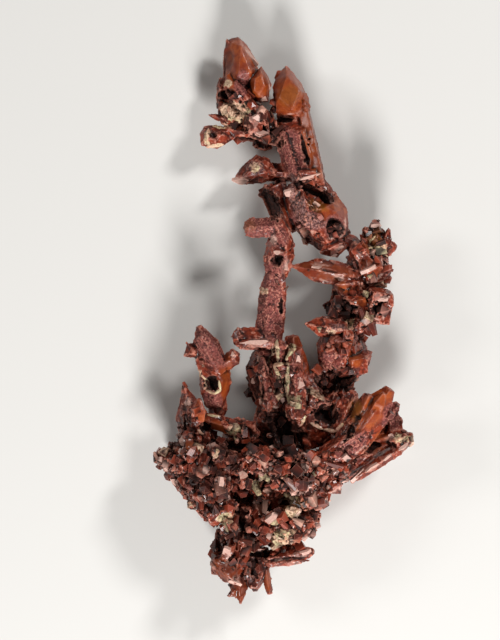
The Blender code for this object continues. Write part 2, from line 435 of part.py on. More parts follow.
def crown_right():
    crystals = [
        chip([(56.1, 113.8), (57.3, 115.1), (58.9, 113.2), (60.4, 111.4), (61.5, 108.8), (61.6, 105.4), (59.4, 104.2),
              (56.6, 104.5), (54.6, 105.9), (54.6, 110.4), (55.1, 112.3)],
             7.4, [(57.4, 112.6, 10.8), (55.8, 108.2, 11.6), (58.4, 105.8, 12.2), (60.0, 109.6, 11.4)],
             [(57.6, 111.4, 4.0), (58.0, 106.8, 3.2)]),
        blade((59.0, 107.8, 6.4), (59.0, 101.2, 5.8), 5.0, 5.4, 15, (0.2, 0.8), (0.8, 0.8)),
        blade((60.6, 109.4, 8.8), (61.2, 104.0, 9.4), 2.0, 2.6, 10),
        octahedron((56.0, 113.0, 7.0), 1.3, (20, 10, 30)),
    ]
    return crystals, []


# Small crystals strewn over a piece: how many, their sizes and the seed that places them.
STREWN = {
    "foot": (5, (0.9, 1.5), 11),
    "left_cluster": (15, (1.3, 2.1), 12),
    "centre_cluster": (13, (1.3, 2.1), 13),
    "middle_trunk": (4, (0.9, 1.5), 16),
    "right_branch": (3, (0.9, 1.3), 17),
    "elbow": (3, (0.8, 1.2), 18),
}


# Meshes from corners, and their booleans.

def hull_into(mesh, corners):
    """Adds the convex hull of the corners to the bmesh, facing out."""
    points = [mesh.verts.new(corner) for corner in corners]
    made = bmesh.ops.convex_hull(mesh, input=points)
    loose = {v for v in made["geom_interior"] + made["geom_unused"] if isinstance(v, bmesh.types.BMVert)}
    bmesh.ops.delete(mesh, geom=list(loose), context="VERTS")


def solid_mesh(name, crystals):
    """One mesh of the crystals' hulls, in metres from the part's origin, their flat faces merged."""
    mesh = bmesh.new()
    for corners in crystals:
        part = bmesh.new()
        hull_into(part, [(corner - CENTRE) * MM for corner in corners])
        bmesh.ops.recalc_face_normals(part, faces=part.faces)
        bmesh.ops.dissolve_limit(part, angle_limit=math.radians(1), verts=part.verts, edges=part.edges)
        single = bpy.data.meshes.new(name)
        part.to_mesh(single)
        part.free()
        mesh.from_mesh(single)
        bpy.data.meshes.remove(single)
    data = bpy.data.meshes.new(name)
    mesh.to_mesh(data)
    mesh.free()
    return data


def linked(name, data):
    body = bpy.data.objects.new(name, data)
    bpy.context.scene.collection.objects.link(body)
    return body


def boolean(body, cutter_mesh, operation):
    """Joins the cutter's solids to the body, or cuts them from it, for good."""
    cutter = linked("cutter", cutter_mesh)
    step = body.modifiers.new("step", "BOOLEAN")
    step.operation = operation
    step.object = cutter
    step.solver = "EXACT"
    step.use_self = True
    graph = bpy.context.evaluated_depsgraph_get()
    result = bpy.data.meshes.new_from_object(body.evaluated_get(graph))
    body.modifiers.clear()
    old = body.data
    body.data = result
    bpy.data.meshes.remove(old)
    bpy.data.objects.remove(cutter)


def stirred(corners, dice):
    """The crystal moved a hair, so that no two crystals share a plane."""
    shift = Vector([dice.uniform(-STIR, STIR) for _ in range(3)])
    return [corner + shift for corner in corners]


def strewn(crystals, count, sizes, dice):
    """Small crystals with their middles just under the surface of the larger ones."""
    seats = bmesh.new()
    for corners in crystals:
        hull_into(seats, corners)
    bmesh.ops.triangulate(seats, faces=seats.faces)
    seats.faces.ensure_lookup_table()
    areas = [face.calc_area() for face in seats.faces]
    middle = sum((face.calc_center_median() for face in seats.faces), Vector()) / len(seats.faces)
    found = []
    for face in dice.choices(list(seats.faces), weights=areas, k=count):
        shares = [dice.random() for _ in range(3)]
        total = sum(shares)
        seat = sum((v.co * share / total for v, share in zip(face.verts, shares)), Vector())
        radius = dice.uniform(*sizes)
        outward = (seat - middle).normalized()
        turned = [dice.uniform(0, 90) for _ in range(3)]
        seat -= outward * radius * 0.25
        if dice.random() < 0.5:
            found.append(octahedron(seat, radius * 1.15, turned, dice.uniform(1.0, 1.5)))
        else:
            found.append(block(seat, [radius * dice.uniform(1.1, 1.9) for _ in range(3)], turned, 0.0))
    seats.free()
    return found


def swollen(corners, gap):
    """The crystal's hull with every face moved out by at least the gap."""
    hull = bmesh.new()
    hull_into(hull, corners)
    bmesh.ops.recalc_face_normals(hull, faces=hull.faces)
    moved = []
    for vertex in hull.verts:
        normals = [face.normal for face in vertex.link_faces]
        mean = sum(normals, Vector()).normalized()
        least = max(min(mean.dot(normal) for normal in normals), 0.25)
        moved.append(vertex.co + mean * (gap / least))
    hull.free()
    return moved


def keep_largest(body):
    """Drops sealed voids and bits that a cut has set free, and keeps the main shell."""
    shell = bmesh.new()
    shell.from_mesh(body.data)
    bmesh.ops.remove_doubles(shell, verts=shell.verts, dist=1e-7)
    left = set(shell.verts)
    islands = []
    while left:
        stack = [left.pop()]
        island = set(stack)
        while stack:
            for edge in stack.pop().link_edges:
                for vertex in edge.verts:
                    if vertex in left:
                        left.remove(vertex)
                        island.add(vertex)
                        stack.append(vertex)
        islands.append(island)

    def reach(island):
        spans = [[v.co[axis] for v in island] for axis in range(3)]
        return sum(max(span) - min(span) for span in spans)

    main = max(islands, key=reach)
    bmesh.ops.delete(shell, geom=[v for v in shell.verts if v not in main], context="VERTS")
    bmesh.ops.dissolve_limit(shell, angle_limit=math.radians(0.5), verts=shell.verts, edges=shell.edges)
    bmesh.ops.triangulate(shell, faces=shell.faces)
    shell.to_mesh(body.data)
    shell.free()


def near(one, other):
    """Whether the boxes round two lists of corners come within a millimetre of each other."""
    return all(
        min(a[axis] for a in one) - 1 < max(b[axis] for b in other)
        and min(b[axis] for b in other) - 1 < max(a[axis] for a in one)
        for axis in range(3)
    )


def cuprite_skin():
    material = bpy.data.materials.new("cuprite_skin")
    material.use_nodes = True
    shader = material.node_tree.nodes["Principled BSDF"]
    shader.inputs["Base Color"].default_value = SKIN
    shader.inputs["Roughness"].default_value = SKIN_ROUGHNESS
    shader.inputs["Metallic"].default_value = SKIN_METALLIC
    return material


PIECES = (
    centre_cluster,
    foot,
    left_cluster,
    lower_blade,
    middle_trunk,
    upper_blade,
    left_branch,
    ribbon_branch,
    right_branch,
    elbow,
    upper_stem,
    side_spike,
    crown_left,
    crown_right,
)


def build():
    for old in list(bpy.data.objects):
        bpy.data.objects.remove(old)
    skin = cuprite_skin()
    surface = block(CENTRE + Vector((0, 0, -20)), (200, 200, 40), cut=0.0)
    settled = []
    for make in PIECES:
        name = make.__name__
        crystals, hollows = make()
        count, sizes, seed = STREWN.get(name, (0, (1, 1), 1))
        dice = random.Random(seed)
        crystals = [stirred(corners, dice) for corners in crystals]
        crystals += strewn(crystals, count, sizes, dice)
        body = linked(name, solid_mesh(name, crystals[:1]))
        boolean(body, solid_mesh(name, crystals[1:]), "UNION")
        taken = [swollen(old, FORK_GAP) for old in settled if any(near(old, new) for new in crystals)]
        boolean(body, solid_mesh(name, [surface] + hollows + taken), "DIFFERENCE")
        keep_largest(body)
        body.data.materials.clear()
        body.data.materials.append(skin)
        body.data.name = name
        settled += crystals


build()
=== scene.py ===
"""The looks of a branching cuprite specimen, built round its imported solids.

Lengths here are millimetres in the layout of the specimen's view from above: x to the right and y
up from the lower left corner of that view, and z up from the surface it lies on. CENTRE moves them
to the frame's origin, the middle of the footprint.
"""

import math
from itertools import product

import bmesh
import bpy
import numpy as np
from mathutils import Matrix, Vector
from mathutils.bvhtree import BVHTree


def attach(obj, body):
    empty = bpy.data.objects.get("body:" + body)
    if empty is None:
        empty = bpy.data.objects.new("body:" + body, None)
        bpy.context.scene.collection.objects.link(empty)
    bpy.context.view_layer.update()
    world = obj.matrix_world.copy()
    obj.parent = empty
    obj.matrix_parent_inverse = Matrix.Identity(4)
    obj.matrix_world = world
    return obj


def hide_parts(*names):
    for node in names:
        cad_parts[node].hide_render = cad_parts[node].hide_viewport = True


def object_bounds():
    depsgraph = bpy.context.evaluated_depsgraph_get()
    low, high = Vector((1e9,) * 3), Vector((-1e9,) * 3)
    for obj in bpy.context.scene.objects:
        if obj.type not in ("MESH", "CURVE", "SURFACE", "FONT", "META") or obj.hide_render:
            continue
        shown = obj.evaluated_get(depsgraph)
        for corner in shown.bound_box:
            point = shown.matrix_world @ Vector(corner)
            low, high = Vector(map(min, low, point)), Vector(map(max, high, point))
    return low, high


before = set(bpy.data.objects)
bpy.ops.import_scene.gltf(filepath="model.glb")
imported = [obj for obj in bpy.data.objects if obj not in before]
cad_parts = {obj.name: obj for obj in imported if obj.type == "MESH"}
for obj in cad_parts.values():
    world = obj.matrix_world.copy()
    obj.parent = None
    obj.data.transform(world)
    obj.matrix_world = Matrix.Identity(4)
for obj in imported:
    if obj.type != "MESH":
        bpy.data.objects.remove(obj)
cad_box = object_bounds()

MM = 0.001
CENTRE = np.array((56.8, 64.1, 0.0))

# The body of a piece: the squares of its skin, the share of its triangles that is kept, and how far
# it swells where another piece is near.
FINE = 0.18
KEPT = 0.48
FORK_REACH, FORK_CLOSE = 0.75, 0.35
FORK_SWELL = 0.34

# Its relief: the width of a facet, crumb and grain, and how far each covering stands out or goes in.
FACET, FACET_LIFT = 1.5, 0.34
CRUMB, CRUMB_LIFT = 0.62, 0.12
GRAIN, GRAIN_LIFT = 0.42, 0.10
CRUST_LIFT, CRUST_ROUGHNESS = 0.1, 0.09
LONG_WAVE, SHORT_WAVE = 0.07, 0.022
VEIN_LIFT = 0.28
HOLLOW_DEPTH = 0.75

# How often it is smoothed to tell its edges and hollows, and how far off they then count in full; the
# edges take painted highlight and the hollows painted shade.
BROAD_ROUNDS, NEAR_ROUNDS, FAR_ROUNDS = 8, 5, 45
FULL_BEND, FULL_CAVITY = 0.06, 0.5

# The small crystals with their painted edge highlight, and the pale plates of painted highlight let in
# among them.
SEAT_GRID = 0.4
CRYSTALS_PER_MM2 = 1.35
LEAST_CRYSTAL, LARGEST_CRYSTAL = 0.42, 1.9
CRUSTED_ABOVE, BRIGHT_BELOW = 0.965, 0.05
PALE_CRYSTAL = 0.75
TONE_SPREAD = 7.3
CRYSTAL_EDGE = 0.13
EDGED_FACE = 0.45
PLATE_PROUD = 0.14
PLATE_DEPTH = 0.7
PLATE_LEAN = 0.5
PLATE_CORNERS = 6
LEAST_FACING = 0.2
HIGH_ABOVE = 60.0

# The camera and the studio; the studio's lengths are metres.
VIEW_MIDDLE = (50.0, 64.0)
VIEW_HEIGHT = 128.0
VIEW_DEPTH = 8.5
CAMERA_DISTANCE = 600.0
SENSOR = 36.0
CLIP_START = 0.01
FLOOR_REACH = 3.0
LAMPS = (
    ("low_front", (0.06, -0.50, 0.32), 0.16, 4.6),
    ("high_right", (0.34, 0.30, 0.42), 0.12, 2.2),
    ("left", (-0.42, 0.10, 0.34), 0.16, 0.7),
)
LAMP_AIM = (0.0, 0.0, 0.01)
ROOM_SHADE, ROOM_STRENGTH = (1.0, 0.97, 0.93, 1.0), 0.09

# Patches of the seen side: the middle x and y, the half lengths along and across, the turn in
# degrees and, where it isn't whole, the strength of each, named by what shows there.

SMOOTH = (
    (47.8, 115.0, 3.6, 5.6, 0),           # first crown crystal
    (52.0, 111.2, 2.0, 3.6, 0),           # second crown crystal
    (58.0, 109.4, 3.6, 4.8, 0),           # third crown crystal
    (62.2, 101.0, 9.4, 1.7, -80),         # column down the stem's right side
    (67.4, 85.6, 3.4, 3.0, 30),           # flat right side of the stem
    (58.0, 84.4, 2.6, 1.1, -60),          # stem's lower left
    (68.8, 70.4, 1.6, 1.0, -20),          # under the elbow
    (72.2, 67.6, 1.2, 0.9, 0),
    (70.8, 56.4, 1.6, 1.8, 0),            # flank of the right branch
    (64.8, 73.6, 6.0, 1.7, -6, 0.65),     # spear of the elbow
    (44.9, 52.6, 5.0, 1.3, 82),           # flank of the left branch
    (43.9, 42.0, 2.6, 1.1, -62),          # long bean under the left branch
    (38.0, 39.2, 1.9, 1.0, 85),           # short bean
    (40.4, 46.0, 2.6, 1.2, 105),          # inner side of the horn
    (75.6, 39.8, 2.6, 1.5, 60),           # hollow of the lower blade
    (74.2, 46.4, 5.4, 2.6, 48),           # upper blade
    (53.6, 12.4, 2.6, 0.8, 80),           # right prong of the foot
    (43.9, 55.6, 3.0, 1.0, -40),
    (60.8, 57.4, 2.4, 4.4, 22, 0.55),     # right lobe of the trunk
    (54.0, 53.4, 0.8, 3.8, 14, 0.5),
    (67.8, 60.0, 3.0, 1.6, -10, 0.5),     # top of the right branch
    (45.4, 14.8, 2.8, 2.2, -40, 0.6),     # faces of the foot
    (48.0, 10.0, 1.8, 2.2, 10, 0.6),
    (46.0, 19.4, 1.8, 1.6, 0, 0.4),
    (73.8, 74.6, 2.4, 2.0, 0, 0.45),      # inside the elbow's nest
)
GRAINY = (
    (50.4, 82.4, 3.0, 1.8, 0),            # hook of the ribbon
    (54.0, 81.6, 4.4, 2.6, -40),
    (58.2, 97.6, 5.2, 2.5, -72),          # purple column of the stem
    (48.4, 111.0, 3.0, 1.4, 80),          # ridge of the crown
    (54.2, 65.4, 6.6, 2.8, 88),           # ribbon
    (54.2, 73.0, 2.6, 2.2, 0),
    (55.4, 75.7, 2.0, 1.8, 0),
    (41.6, 58.4, 4.8, 2.2, -52),          # face of the left branch
    (42.6, 48.2, 2.2, 2.2, 0),
    (66.0, 55.8, 2.4, 2.0, 0, 0.8),       # face of the right branch
    (70.0, 39.4, 3.4, 1.8, 35),           # shard of the upper blade
    (78.4, 45.0, 2.2, 2.8, 0),
    (67.0, 82.6, 2.4, 2.3, 0),
    (56.0, 53.4, 6.4, 4.4, 80, 0.6),      # middle trunk
    (61.2, 83.8, 3.8, 2.0, -15),          # stem above its lower end
)
SILVER = (
    (58.0, 91.6, 2.1, 1.5, -30),
    (59.5, 87.2, 3.4, 1.4, -65),
    (61.8, 83.8, 3.4, 1.5, -20),
    (51.2, 94.4, 1.6, 1.3, 0),            # side spike
    (67.6, 60.4, 2.2, 0.9, 0, 0.5),
    (67.4, 62.5, 1.7, 0.8, -10),
    (72.6, 58.8, 0.9, 0.7, 0),
    (75.0, 82.4, 1.4, 1.0, 0),
)
CRUST = (
    (45.6, 111.2, 0.8, 0.8, 0),
    (46.8, 105.6, 2.9, 2.1, -20),         # plate under the crown
    (44.6, 102.8, 2.2, 0.7, 0),
    (41.4, 100.4, 0.7, 1.5, 0),
    (51.2, 94.5, 1.1, 1.0, 0),
    (52.8, 69.8, 0.9, 0.6, 0),
    (69.8, 63.1, 0.9, 1.3, 0),            # top of the right branch
    (66.0, 61.8, 1.6, 0.6, 0),
    (58.2, 58.6, 1.1, 0.8, 0),
    (58.8, 48.0, 1.5, 1.3, 0),
    (55.6, 49.6, 1.3, 1.0, 0),
    (62.9, 49.6, 2.1, 0.75, -35),         # yellow ledge
    (79.4, 40.6, 0.9, 0.8, 0),            # tip of the lower blade
    (81.4, 40.4, 0.9, 0.7, 0),
    (46.8, 42.0, 1.7, 1.3, -15),          # arm
    (43.2, 37.4, 1.0, 0.8, 0),
    (45.3, 24.9, 1.7, 1.2, 0),
    (58.4, 28.8, 1.7, 1.2, -20),
    (58.5, 25.7, 1.4, 1.1, 0),
    (56.8, 20.9, 2.4, 1.7, 10),           # under the centre cluster
    (75.4, 78.2, 2.0, 0.7, 10),           # nest of the elbow
    (40.2, 53.8, 1.2, 0.5, 60),
    (37.8, 27.6, 1.2, 0.8, 0),
)
VEINS = (
    (55.5, 58.0, 2.2, 0.36, 92),          # of the middle trunk
    (56.3, 55.3, 1.7, 0.34, 4),
    (57.5, 52.2, 3.2, 0.4, 88),
    (55.6, 53.2, 2.1, 0.32, -66),
    (54.3, 57.4, 1.6, 0.24, 80),
    (60.4, 44.0, 1.3, 0.3, 65),
    (63.4, 42.9, 1.4, 0.34, -28),         # arc under the round hollow
    (65.8, 42.1, 1.5, 0.38, -8),
    (67.8, 42.7, 1.1, 0.32, 42),
    (42.9, 44.9, 1.3, 0.24, -8),          # round the ball hollow
    (40.3, 41.7, 1.1, 0.24, -42),
    (40.9, 52.5, 0.9, 0.22, -57),         # round the left branch's hollow
    (41.1, 51.0, 0.8, 0.24, 85),
    (42.2, 49.7, 1.0, 0.26, -22),
    (43.6, 49.8, 0.8, 0.24, 36),
    (44.0, 51.2, 0.9, 0.22, 98),
    (43.0, 99.0, 1.8, 0.3, 8),            # round the left knob's hollow
    (41.6, 100.8, 1.2, 0.26, 88),
    (75.4, 78.6, 2.0, 0.26, 14),          # fibres of the elbow's nest
    (76.2, 77.4, 1.6, 0.2, -30),
    (74.2, 79.8, 1.2, 0.2, 50),
)
# Painted highlights along edges and on bright facets.
PAINTED_HIGHLIGHT_RIMS = (
    (49.9, 117.3, 3.4, 0.36, -57),        # bevel of the first crown crystal
    (54.0, 110.4, 2.4, 0.18, -74),        # edge of the second
    (58.7, 105.3, 1.9, 0.2, 16),          # foot of the third
    (68.8, 82.8, 1.5, 0.3, 78),           # round the stem's lower hollow
    (67.4, 80.6, 1.5, 0.3, 12),
    (66.8, 87.5, 1.4, 0.2, -42),          # under the stem's bowl
    (55.3, 77.4, 1.3, 0.26, 0),           # over the ribbon's hollow
    (57.2, 75.2, 1.5, 0.24, 82),
    (75.6, 68.0, 1.9, 0.3, 10),           # round the right block's hollow
    (76.7, 66.0, 1.8, 0.28, 78),
    (74.0, 64.4, 1.6, 0.22, -12),
    (73.4, 77.0, 2.2, 0.24, 6),           # round the elbow's nest
    (71.2, 75.6, 1.7, 0.22, 64),
    (76.3, 75.4, 1.7, 0.22, -66),
    (72.6, 71.6, 2.0, 0.2, -18),
    (75.4, 72.4, 1.3, 0.18, 40),
    (64.2, 74.9, 2.0, 0.14, -4),          # edges of the elbow's spear
    (64.4, 71.9, 2.2, 0.12, -14),
    (57.6, 16.7, 4.4, 0.2, 8),            # edges of the foot's shard
    (58.0, 14.3, 4.0, 0.22, 7),
    (46.6, 12.9, 1.8, 0.2, 55),           # of the foot
    (45.6, 16.8, 1.6, 0.2, 80),
    (48.2, 91.8, 1.5, 0.8, 0),            # tip of the side spike
    (54.7, 79.9, 0.7, 1.0, 0),            # facet of the ribbon
    (67.7, 72.4, 1.0, 0.45, -27),         # facet of the elbow's spear
    (67.6, 78.3, 1.2, 0.3, 15),           # lower end of the stem
    (37.7, 47.8, 0.8, 0.8, 0),            # bright facets of the left cluster
    (33.1, 34.6, 0.9, 0.6, -40),
    (35.8, 31.9, 1.2, 0.5, -45),
    (40.3, 27.6, 0.9, 0.7, 0),
    (45.1, 28.6, 1.0, 0.6, 0),
    (52.8, 34.2, 0.8, 1.2, 0),            # of the centre cluster
    (60.1, 30.6, 2.0, 1.0, 15),
    (61.9, 22.0, 0.9, 1.0, 0),
    (68.4, 31.2, 1.9, 0.4, 28),           # its right edge, below the wing
    (65.4, 29.0, 2.2, 0.4, 40),
    (71.5, 38.0, 1.8, 0.2, 41),           # edges of the upper blade's shard
    (69.2, 40.7, 1.6, 0.18, 36),
)
# Painted highlights: pale patches on whole facets, and plates let in where these places show from above.
GLINT = (
    (49.9, 117.2, 3.4, 0.5, -57),         # bevel of the first crown crystal
    (52.9, 108.2, 0.8, 0.6, 0),
    (51.2, 103.8, 0.9, 1.4, 0),
    (53.4, 104.9, 0.5, 0.5, 0),
    (52.4, 101.3, 2.0, 0.7, -12),
    (48.3, 91.8, 1.7, 0.9, 0),            # side spike's end
    (57.6, 89.2, 0.8, 0.9, 0),
    (62.0, 92.5, 2.4, 0.3, 8),            # ledge of the stem
    (68.0, 78.4, 0.9, 0.4, 20),
    (66.8, 76.9, 0.9, 0.4, 20),
    (54.6, 79.8, 0.9, 1.1, 0),
    (55.4, 77.4, 0.7, 0.6, 0),
    (57.2, 74.8, 0.5, 1.3, 0),
    (51.1, 59.5, 3.5, 0.5, 0),            # cross piece under the ribbon
    (63.4, 74.4, 1.1, 0.4, -4),
    (68.0, 72.2, 1.1, 0.6, 20),
    (73.4, 74.2, 1.6, 0.7, 10),
    (75.0, 82.7, 1.1, 0.5, 0),
    (76.2, 68.2, 1.7, 0.6, 5),
    (59.6, 56.2, 0.8, 0.9, 0),
    (60.0, 51.4, 0.9, 1.2, 0),
    (50.6, 51.8, 0.6, 0.6, 0),
    (56.6, 48.0, 1.1, 0.8, 0),
    (54.9, 46.8, 1.0, 0.4, 0),
    (71.6, 48.6, 1.1, 0.35, 30),
    (80.4, 39.0, 1.8, 0.3, 38),           # along the lower edge of the wing
    (77.4, 36.9, 1.9, 0.35, 36),
    (74.4, 34.9, 1.9, 0.3, 32),
    (71.2, 33.2, 1.9, 0.35, 28),
    (68.2, 32.0, 1.7, 0.35, 24),
    (78.0, 40.8, 0.7, 0.7, 0),
    (66.8, 34.4, 1.2, 1.0, 30),
    (46.6, 57.2, 0.5, 0.5, 0),
    (32.6, 36.2, 0.8, 0.8, 0),
    (33.2, 34.4, 0.7, 0.7, 0),
    (35.0, 31.8, 1.4, 0.6, -45),
    (40.4, 27.6, 1.0, 0.8, 0),
    (45.0, 28.8, 0.9, 0.8, 0),
    (44.2, 31.8, 1.6, 0.8, 75),           # bright spike of the left cluster
    (60.0, 30.7, 1.5, 1.0, 20),
    (63.1, 29.4, 0.6, 1.0, 0),
    (53.0, 18.7, 2.6, 0.4, 0),
    (45.4, 18.2, 0.9, 1.3, 0),
    (47.0, 12.4, 1.5, 0.6, 0),
    (58.6, 15.4, 3.8, 0.45, 8),           # shard of the foot
    (60.4, 18.0, 2.0, 0.35, 10),
)
# Hollows, carved in and darkened with painted shade; a few are faces turned from the light, given painted
# shade.
SHADED_HOLLOWS = (
    (44.2, 114.4, 0.8, 3.4, 0),           # shaded left side of the crown
    (45.6, 116.2, 1.2, 2.4, -12, 0.5),
    (45.4, 109.0, 1.6, 0.9, -10),
    (42.6, 101.0, 0.8, 0.7, 0),
    (53.8, 99.6, 2.6, 1.3, 0),
    (50.2, 99.8, 1.6, 0.9, 20),
    (57.2, 104.2, 1.7, 0.7, 0),
    (54.5, 104.0, 0.6, 6.0, 0),
    (60.9, 98.0, 3.2, 0.35, -76),         # crack of the stem
    (61.4, 96.0, 0.5, 0.7, 0),
    (60.8, 91.0, 1.8, 1.0, 0),            # bowl of the stem
    (62.6, 89.8, 2.2, 0.9, -20, 0.7),
    (65.4, 88.6, 1.7, 1.3, -20),
    (67.0, 82.4, 1.7, 1.8, 0),
    (52.6, 88.0, 4.6, 2.2, -42),
    (56.2, 67.0, 1.5, 0.35, 88),
    (49.2, 58.0, 0.8, 0.6, 0),
    (75.0, 76.7, 1.0, 0.9, 0),
    (75.5, 66.3, 1.5, 1.2, 0),
    (66.2, 67.0, 2.6, 2.8, 0),
    (69.6, 66.4, 1.6, 0.8, 0),
    (71.6, 64.7, 3.0, 0.4, 0),
    (67.2, 52.2, 3.9, 2.4, 0),            # below the right branch
    (50.0, 51.0, 1.3, 5.0, 10, 0.7),      # left flank of the trunk
    (50.9, 48.4, 1.0, 3.4, 12, 0.8),
    (54.6, 44.6, 2.6, 1.3, 0, 0.8),
    (56.6, 40.4, 4.6, 4.6, 0),            # lower trunk
    (55.9, 50.8, 0.8, 1.9, 0),            # beside the trunk's veins
    (51.6, 50.8, 0.9, 3.0, 14),
    (53.6, 55.2, 0.5, 2.2, 0),
    (64.8, 45.4, 2.5, 2.4, 0),            # round hollow
    (61.8, 100.1, 0.24, 0.24, 0),         # pits of the column
    (61.6, 99.0, 0.26, 0.22, 0),
    (55.4, 75.8, 1.4, 1.1, 0),            # hollow of the ribbon
    (65.8, 73.7, 1.6, 0.34, -12, 0.7),
    (74.4, 38.6, 1.7, 1.2, 30),
    (70.6, 43.4, 0.7, 3.2, -30),
    (42.3, 51.5, 1.2, 1.5, 0),
    (41.0, 42.6, 1.1, 1.1, 0),
    (49.0, 39.0, 3.8, 0.9, -5),
    (51.0, 30.0, 1.7, 1.5, 0),
    (54.4, 26.8, 2.8, 1.1, 15),
    (52.2, 17.6, 2.8, 0.7, 0),
    (43.8, 19.4, 0.9, 2.2, 0),
    (48.4, 24.4, 1.4, 2.4, -20),
    (50.0, 21.4, 1.2, 2.4, 0),
    (50.8, 14.8, 0.9, 2.2, 0),
    (47.4, 27.6, 0.7, 2.6, 0),
)
OLIVE = (
    (57.8, 108.6, 2.0, 2.0, 0, 0.6),
    (63.2, 86.8, 1.8, 1.2, -20),
    (49.6, 82.6, 1.6, 1.2, 0, 0.5),
    (74.6, 79.6, 1.8, 1.8, 0),
    (70.8, 46.2, 1.4, 2.2, 0),
    (58.6, 27.4, 2.4, 2.0, 0),
)
DUSKY = (
    (40.0, 35.0, 10.0, 8.5, -35, 0.32),   # left cluster
    (47.4, 15.6, 6.5, 8.5, 0, 0.36),      # foot
    (56.0, 49.4, 7.5, 9.5, 0, 0.3),       # trunk
    (42.0, 54.4, 4.6, 8.4, 0, 0.16),      # left branch
    (64.4, 73.4, 6.4, 2.4, -6, 0.22),     # spear of the elbow
    (62.6, 101.0, 9.4, 1.9, -80, 0.25),   # column down the stem
)
# Where small crystals crowd, and how thickly.
CROWDED = (
    (40.0, 34.0, 9.0, 7.5, -35, 1.0),
    (38.8, 45.0, 2.2, 5.5, 0, 0.35),
    (47.6, 42.0, 5.0, 1.8, -18, 0.5),
    (56.2, 31.0, 9.6, 8.6, -20, 1.0),
    (57.4, 22.4, 6.6, 3.6, 0, 1.0),
    (65.8, 34.8, 5.0, 3.4, 30, 0.7),
    (47.4, 17.0, 5.4, 8.0, 0, 0.36),
    (57.0, 50.0, 7.5, 8.5, 0, 0.2),
    (75.6, 80.2, 3.6, 3.2, 0, 0.4),
    (74.0, 74.8, 4.6, 4.2, 0, 0.2),
    (70.6, 66.0, 5.0, 3.6, 0, 0.45),
    (68.4, 60.0, 4.6, 3.4, 0, 0.3),
    (49.6, 105.4, 6.0, 4.0, 0, 0.3),
    (62.0, 84.0, 4.5, 4.5, 0, 0.2),
    (75.4, 66.3, 2.0, 1.8, 0, 1.0),       # small ones in the hollows
    (67.0, 82.4, 2.0, 2.0, 0, 1.0),
    (67.5, 52.2, 3.6, 2.2, 0, 0.3),
    (42.3, 51.5, 1.2, 1.5, 0, 0.6),
)
# Where none of them stands, so that an edge or a face stays clear.
BARE = (
    (49.8, 57.2, 1.3, 1.5, 0),            # under the cross piece
    (53.0, 73.0, 1.4, 1.0, 0),            # left edge of the ribbon
    (48.9, 50.0, 1.2, 4.6, 8),            # left edge of the trunk
    (45.8, 9.6, 1.6, 1.4, 0),             # left edge of the foot
    (64.2, 23.8, 2.2, 2.4, 0),            # right edge of the centre cluster
    (61.6, 20.4, 1.8, 1.2, 0),
    (67.0, 29.4, 1.4, 1.9, 0),
    (78.2, 80.8, 1.8, 1.0, 0),            # right edge of the elbow
    (67.4, 53.0, 1.6, 1.2, 0),            # below the right branch
    (55.0, 113.4, 1.0, 1.0, 0),           # left edge of the third crown crystal
    (36.8, 48.0, 0.9, 0.9, 0),            # tip of the horn
    (38.8, 49.2, 0.9, 0.9, 0),
    (45.0, 46.8, 1.0, 1.0, 0),            # under the left branch
    (51.6, 35.8, 0.8, 0.8, 0),
    (45.2, 44.3, 0.8, 0.8, 0),
)


# Random numbers fixed by place, and fields made of them. The last number given to each is its seed.

def by_cell(cells, seed):
    """A number from 0 to 1 for each whole-number cell."""
    cells = cells.astype(np.int64)
    mixed = cells[:, 0] * 73856093 ^ cells[:, 1] * 19349663 ^ cells[:, 2] * 83492791 ^ seed * 40503
    mixed = (mixed ^ (mixed >> 13)) & 0xFFFFFFFF
    mixed = (mixed * 1274126177) & 0xFFFFFFFF
    mixed ^= mixed >> 15
    mixed = (mixed * 2246822519) & 0xFFFFFFFF
    mixed ^= mixed >> 13
    return (mixed & 0xFFFFFF) / float(0x1000000)


def cloud(points, size, seed):
    """Smooth noise from -1 to 1 whose lumps are about size across."""
    scaled = points / size + 0.37 * seed
    base = np.floor(scaled)
    part = scaled - base
    part = part * part * (3 - 2 * part)
    total = np.zeros(len(points))
    for corner in product((0, 1), repeat=3):
        weight = np.prod(np.where(corner, part, 1 - part), axis=1)
        total += weight * by_cell(base + corner, seed)
    return total * 2 - 1


def facets(points, size, seed):
    """Planes tilted at random, one to a cell about size across: their height, number and seat."""
    scaled = points / size
    base = np.floor(scaled)
    nearest = np.full(len(points), np.inf)
    offset = np.zeros_like(points)
    owner = np.zeros_like(points)
    for step in product((-1, 0, 1), repeat=3):
        cell = base + step
        seat = cell + np.stack([by_cell(cell, seed + k) for k in range(3)], axis=1)
        away = scaled - seat
        distance = (away * away).sum(1)
        closer = distance < nearest
        nearest = np.where(closer, distance, nearest)
        offset = np.where(closer[:, None], away, offset)
        owner = np.where(closer[:, None], cell, owner)
    tilt = np.stack([by_cell(owner, seed + 5 + k) for k in range(3)], axis=1) * 2 - 1
    tilt /= np.linalg.norm(tilt, axis=1, keepdims=True) + 1e-9
    number = by_cell(owner, seed + 9)
    return (offset * tilt).sum(1) * 1.4 + number - 0.5, number, (scaled - offset) * size


def ramp(value, low, high):
    """0 at low, 1 at high, eased between."""
    share = np.clip((value - low) / (high - low), 0, 1)
    return share * share * (3 - 2 * share)


def patches(places, points, ragged=0.22, soft=0.16):
    """How far each point lies in any of the patches, from 0 to 1, with ragged borders."""
    inside = np.zeros(len(points))
    wander = cloud(points, 1.5, 3) * 0.6 + cloud(points, 0.6, 4) * 0.4
    for x, y, along, across, turn, *share in places:
        angle = math.radians(turn)
        dx, dy = points[:, 0] - x, points[:, 1] - y
        u = (dx * math.cos(angle) + dy * math.sin(angle)) / along
        v = (dy * math.cos(angle) - dx * math.sin(angle)) / across
        radius = np.sqrt(u * u + v * v) + wander * ragged
        strength = share[0] if share else 1.0
        inside = np.maximum(inside, ramp(radius, 1 + soft, 1 - soft) * strength)
    return inside


# Meshes as arrays.

def corners_of(mesh):
    points = np.empty(len(mesh.vertices) * 3)
    mesh.vertices.foreach_get("co", points)
    return points.reshape(-1, 3)


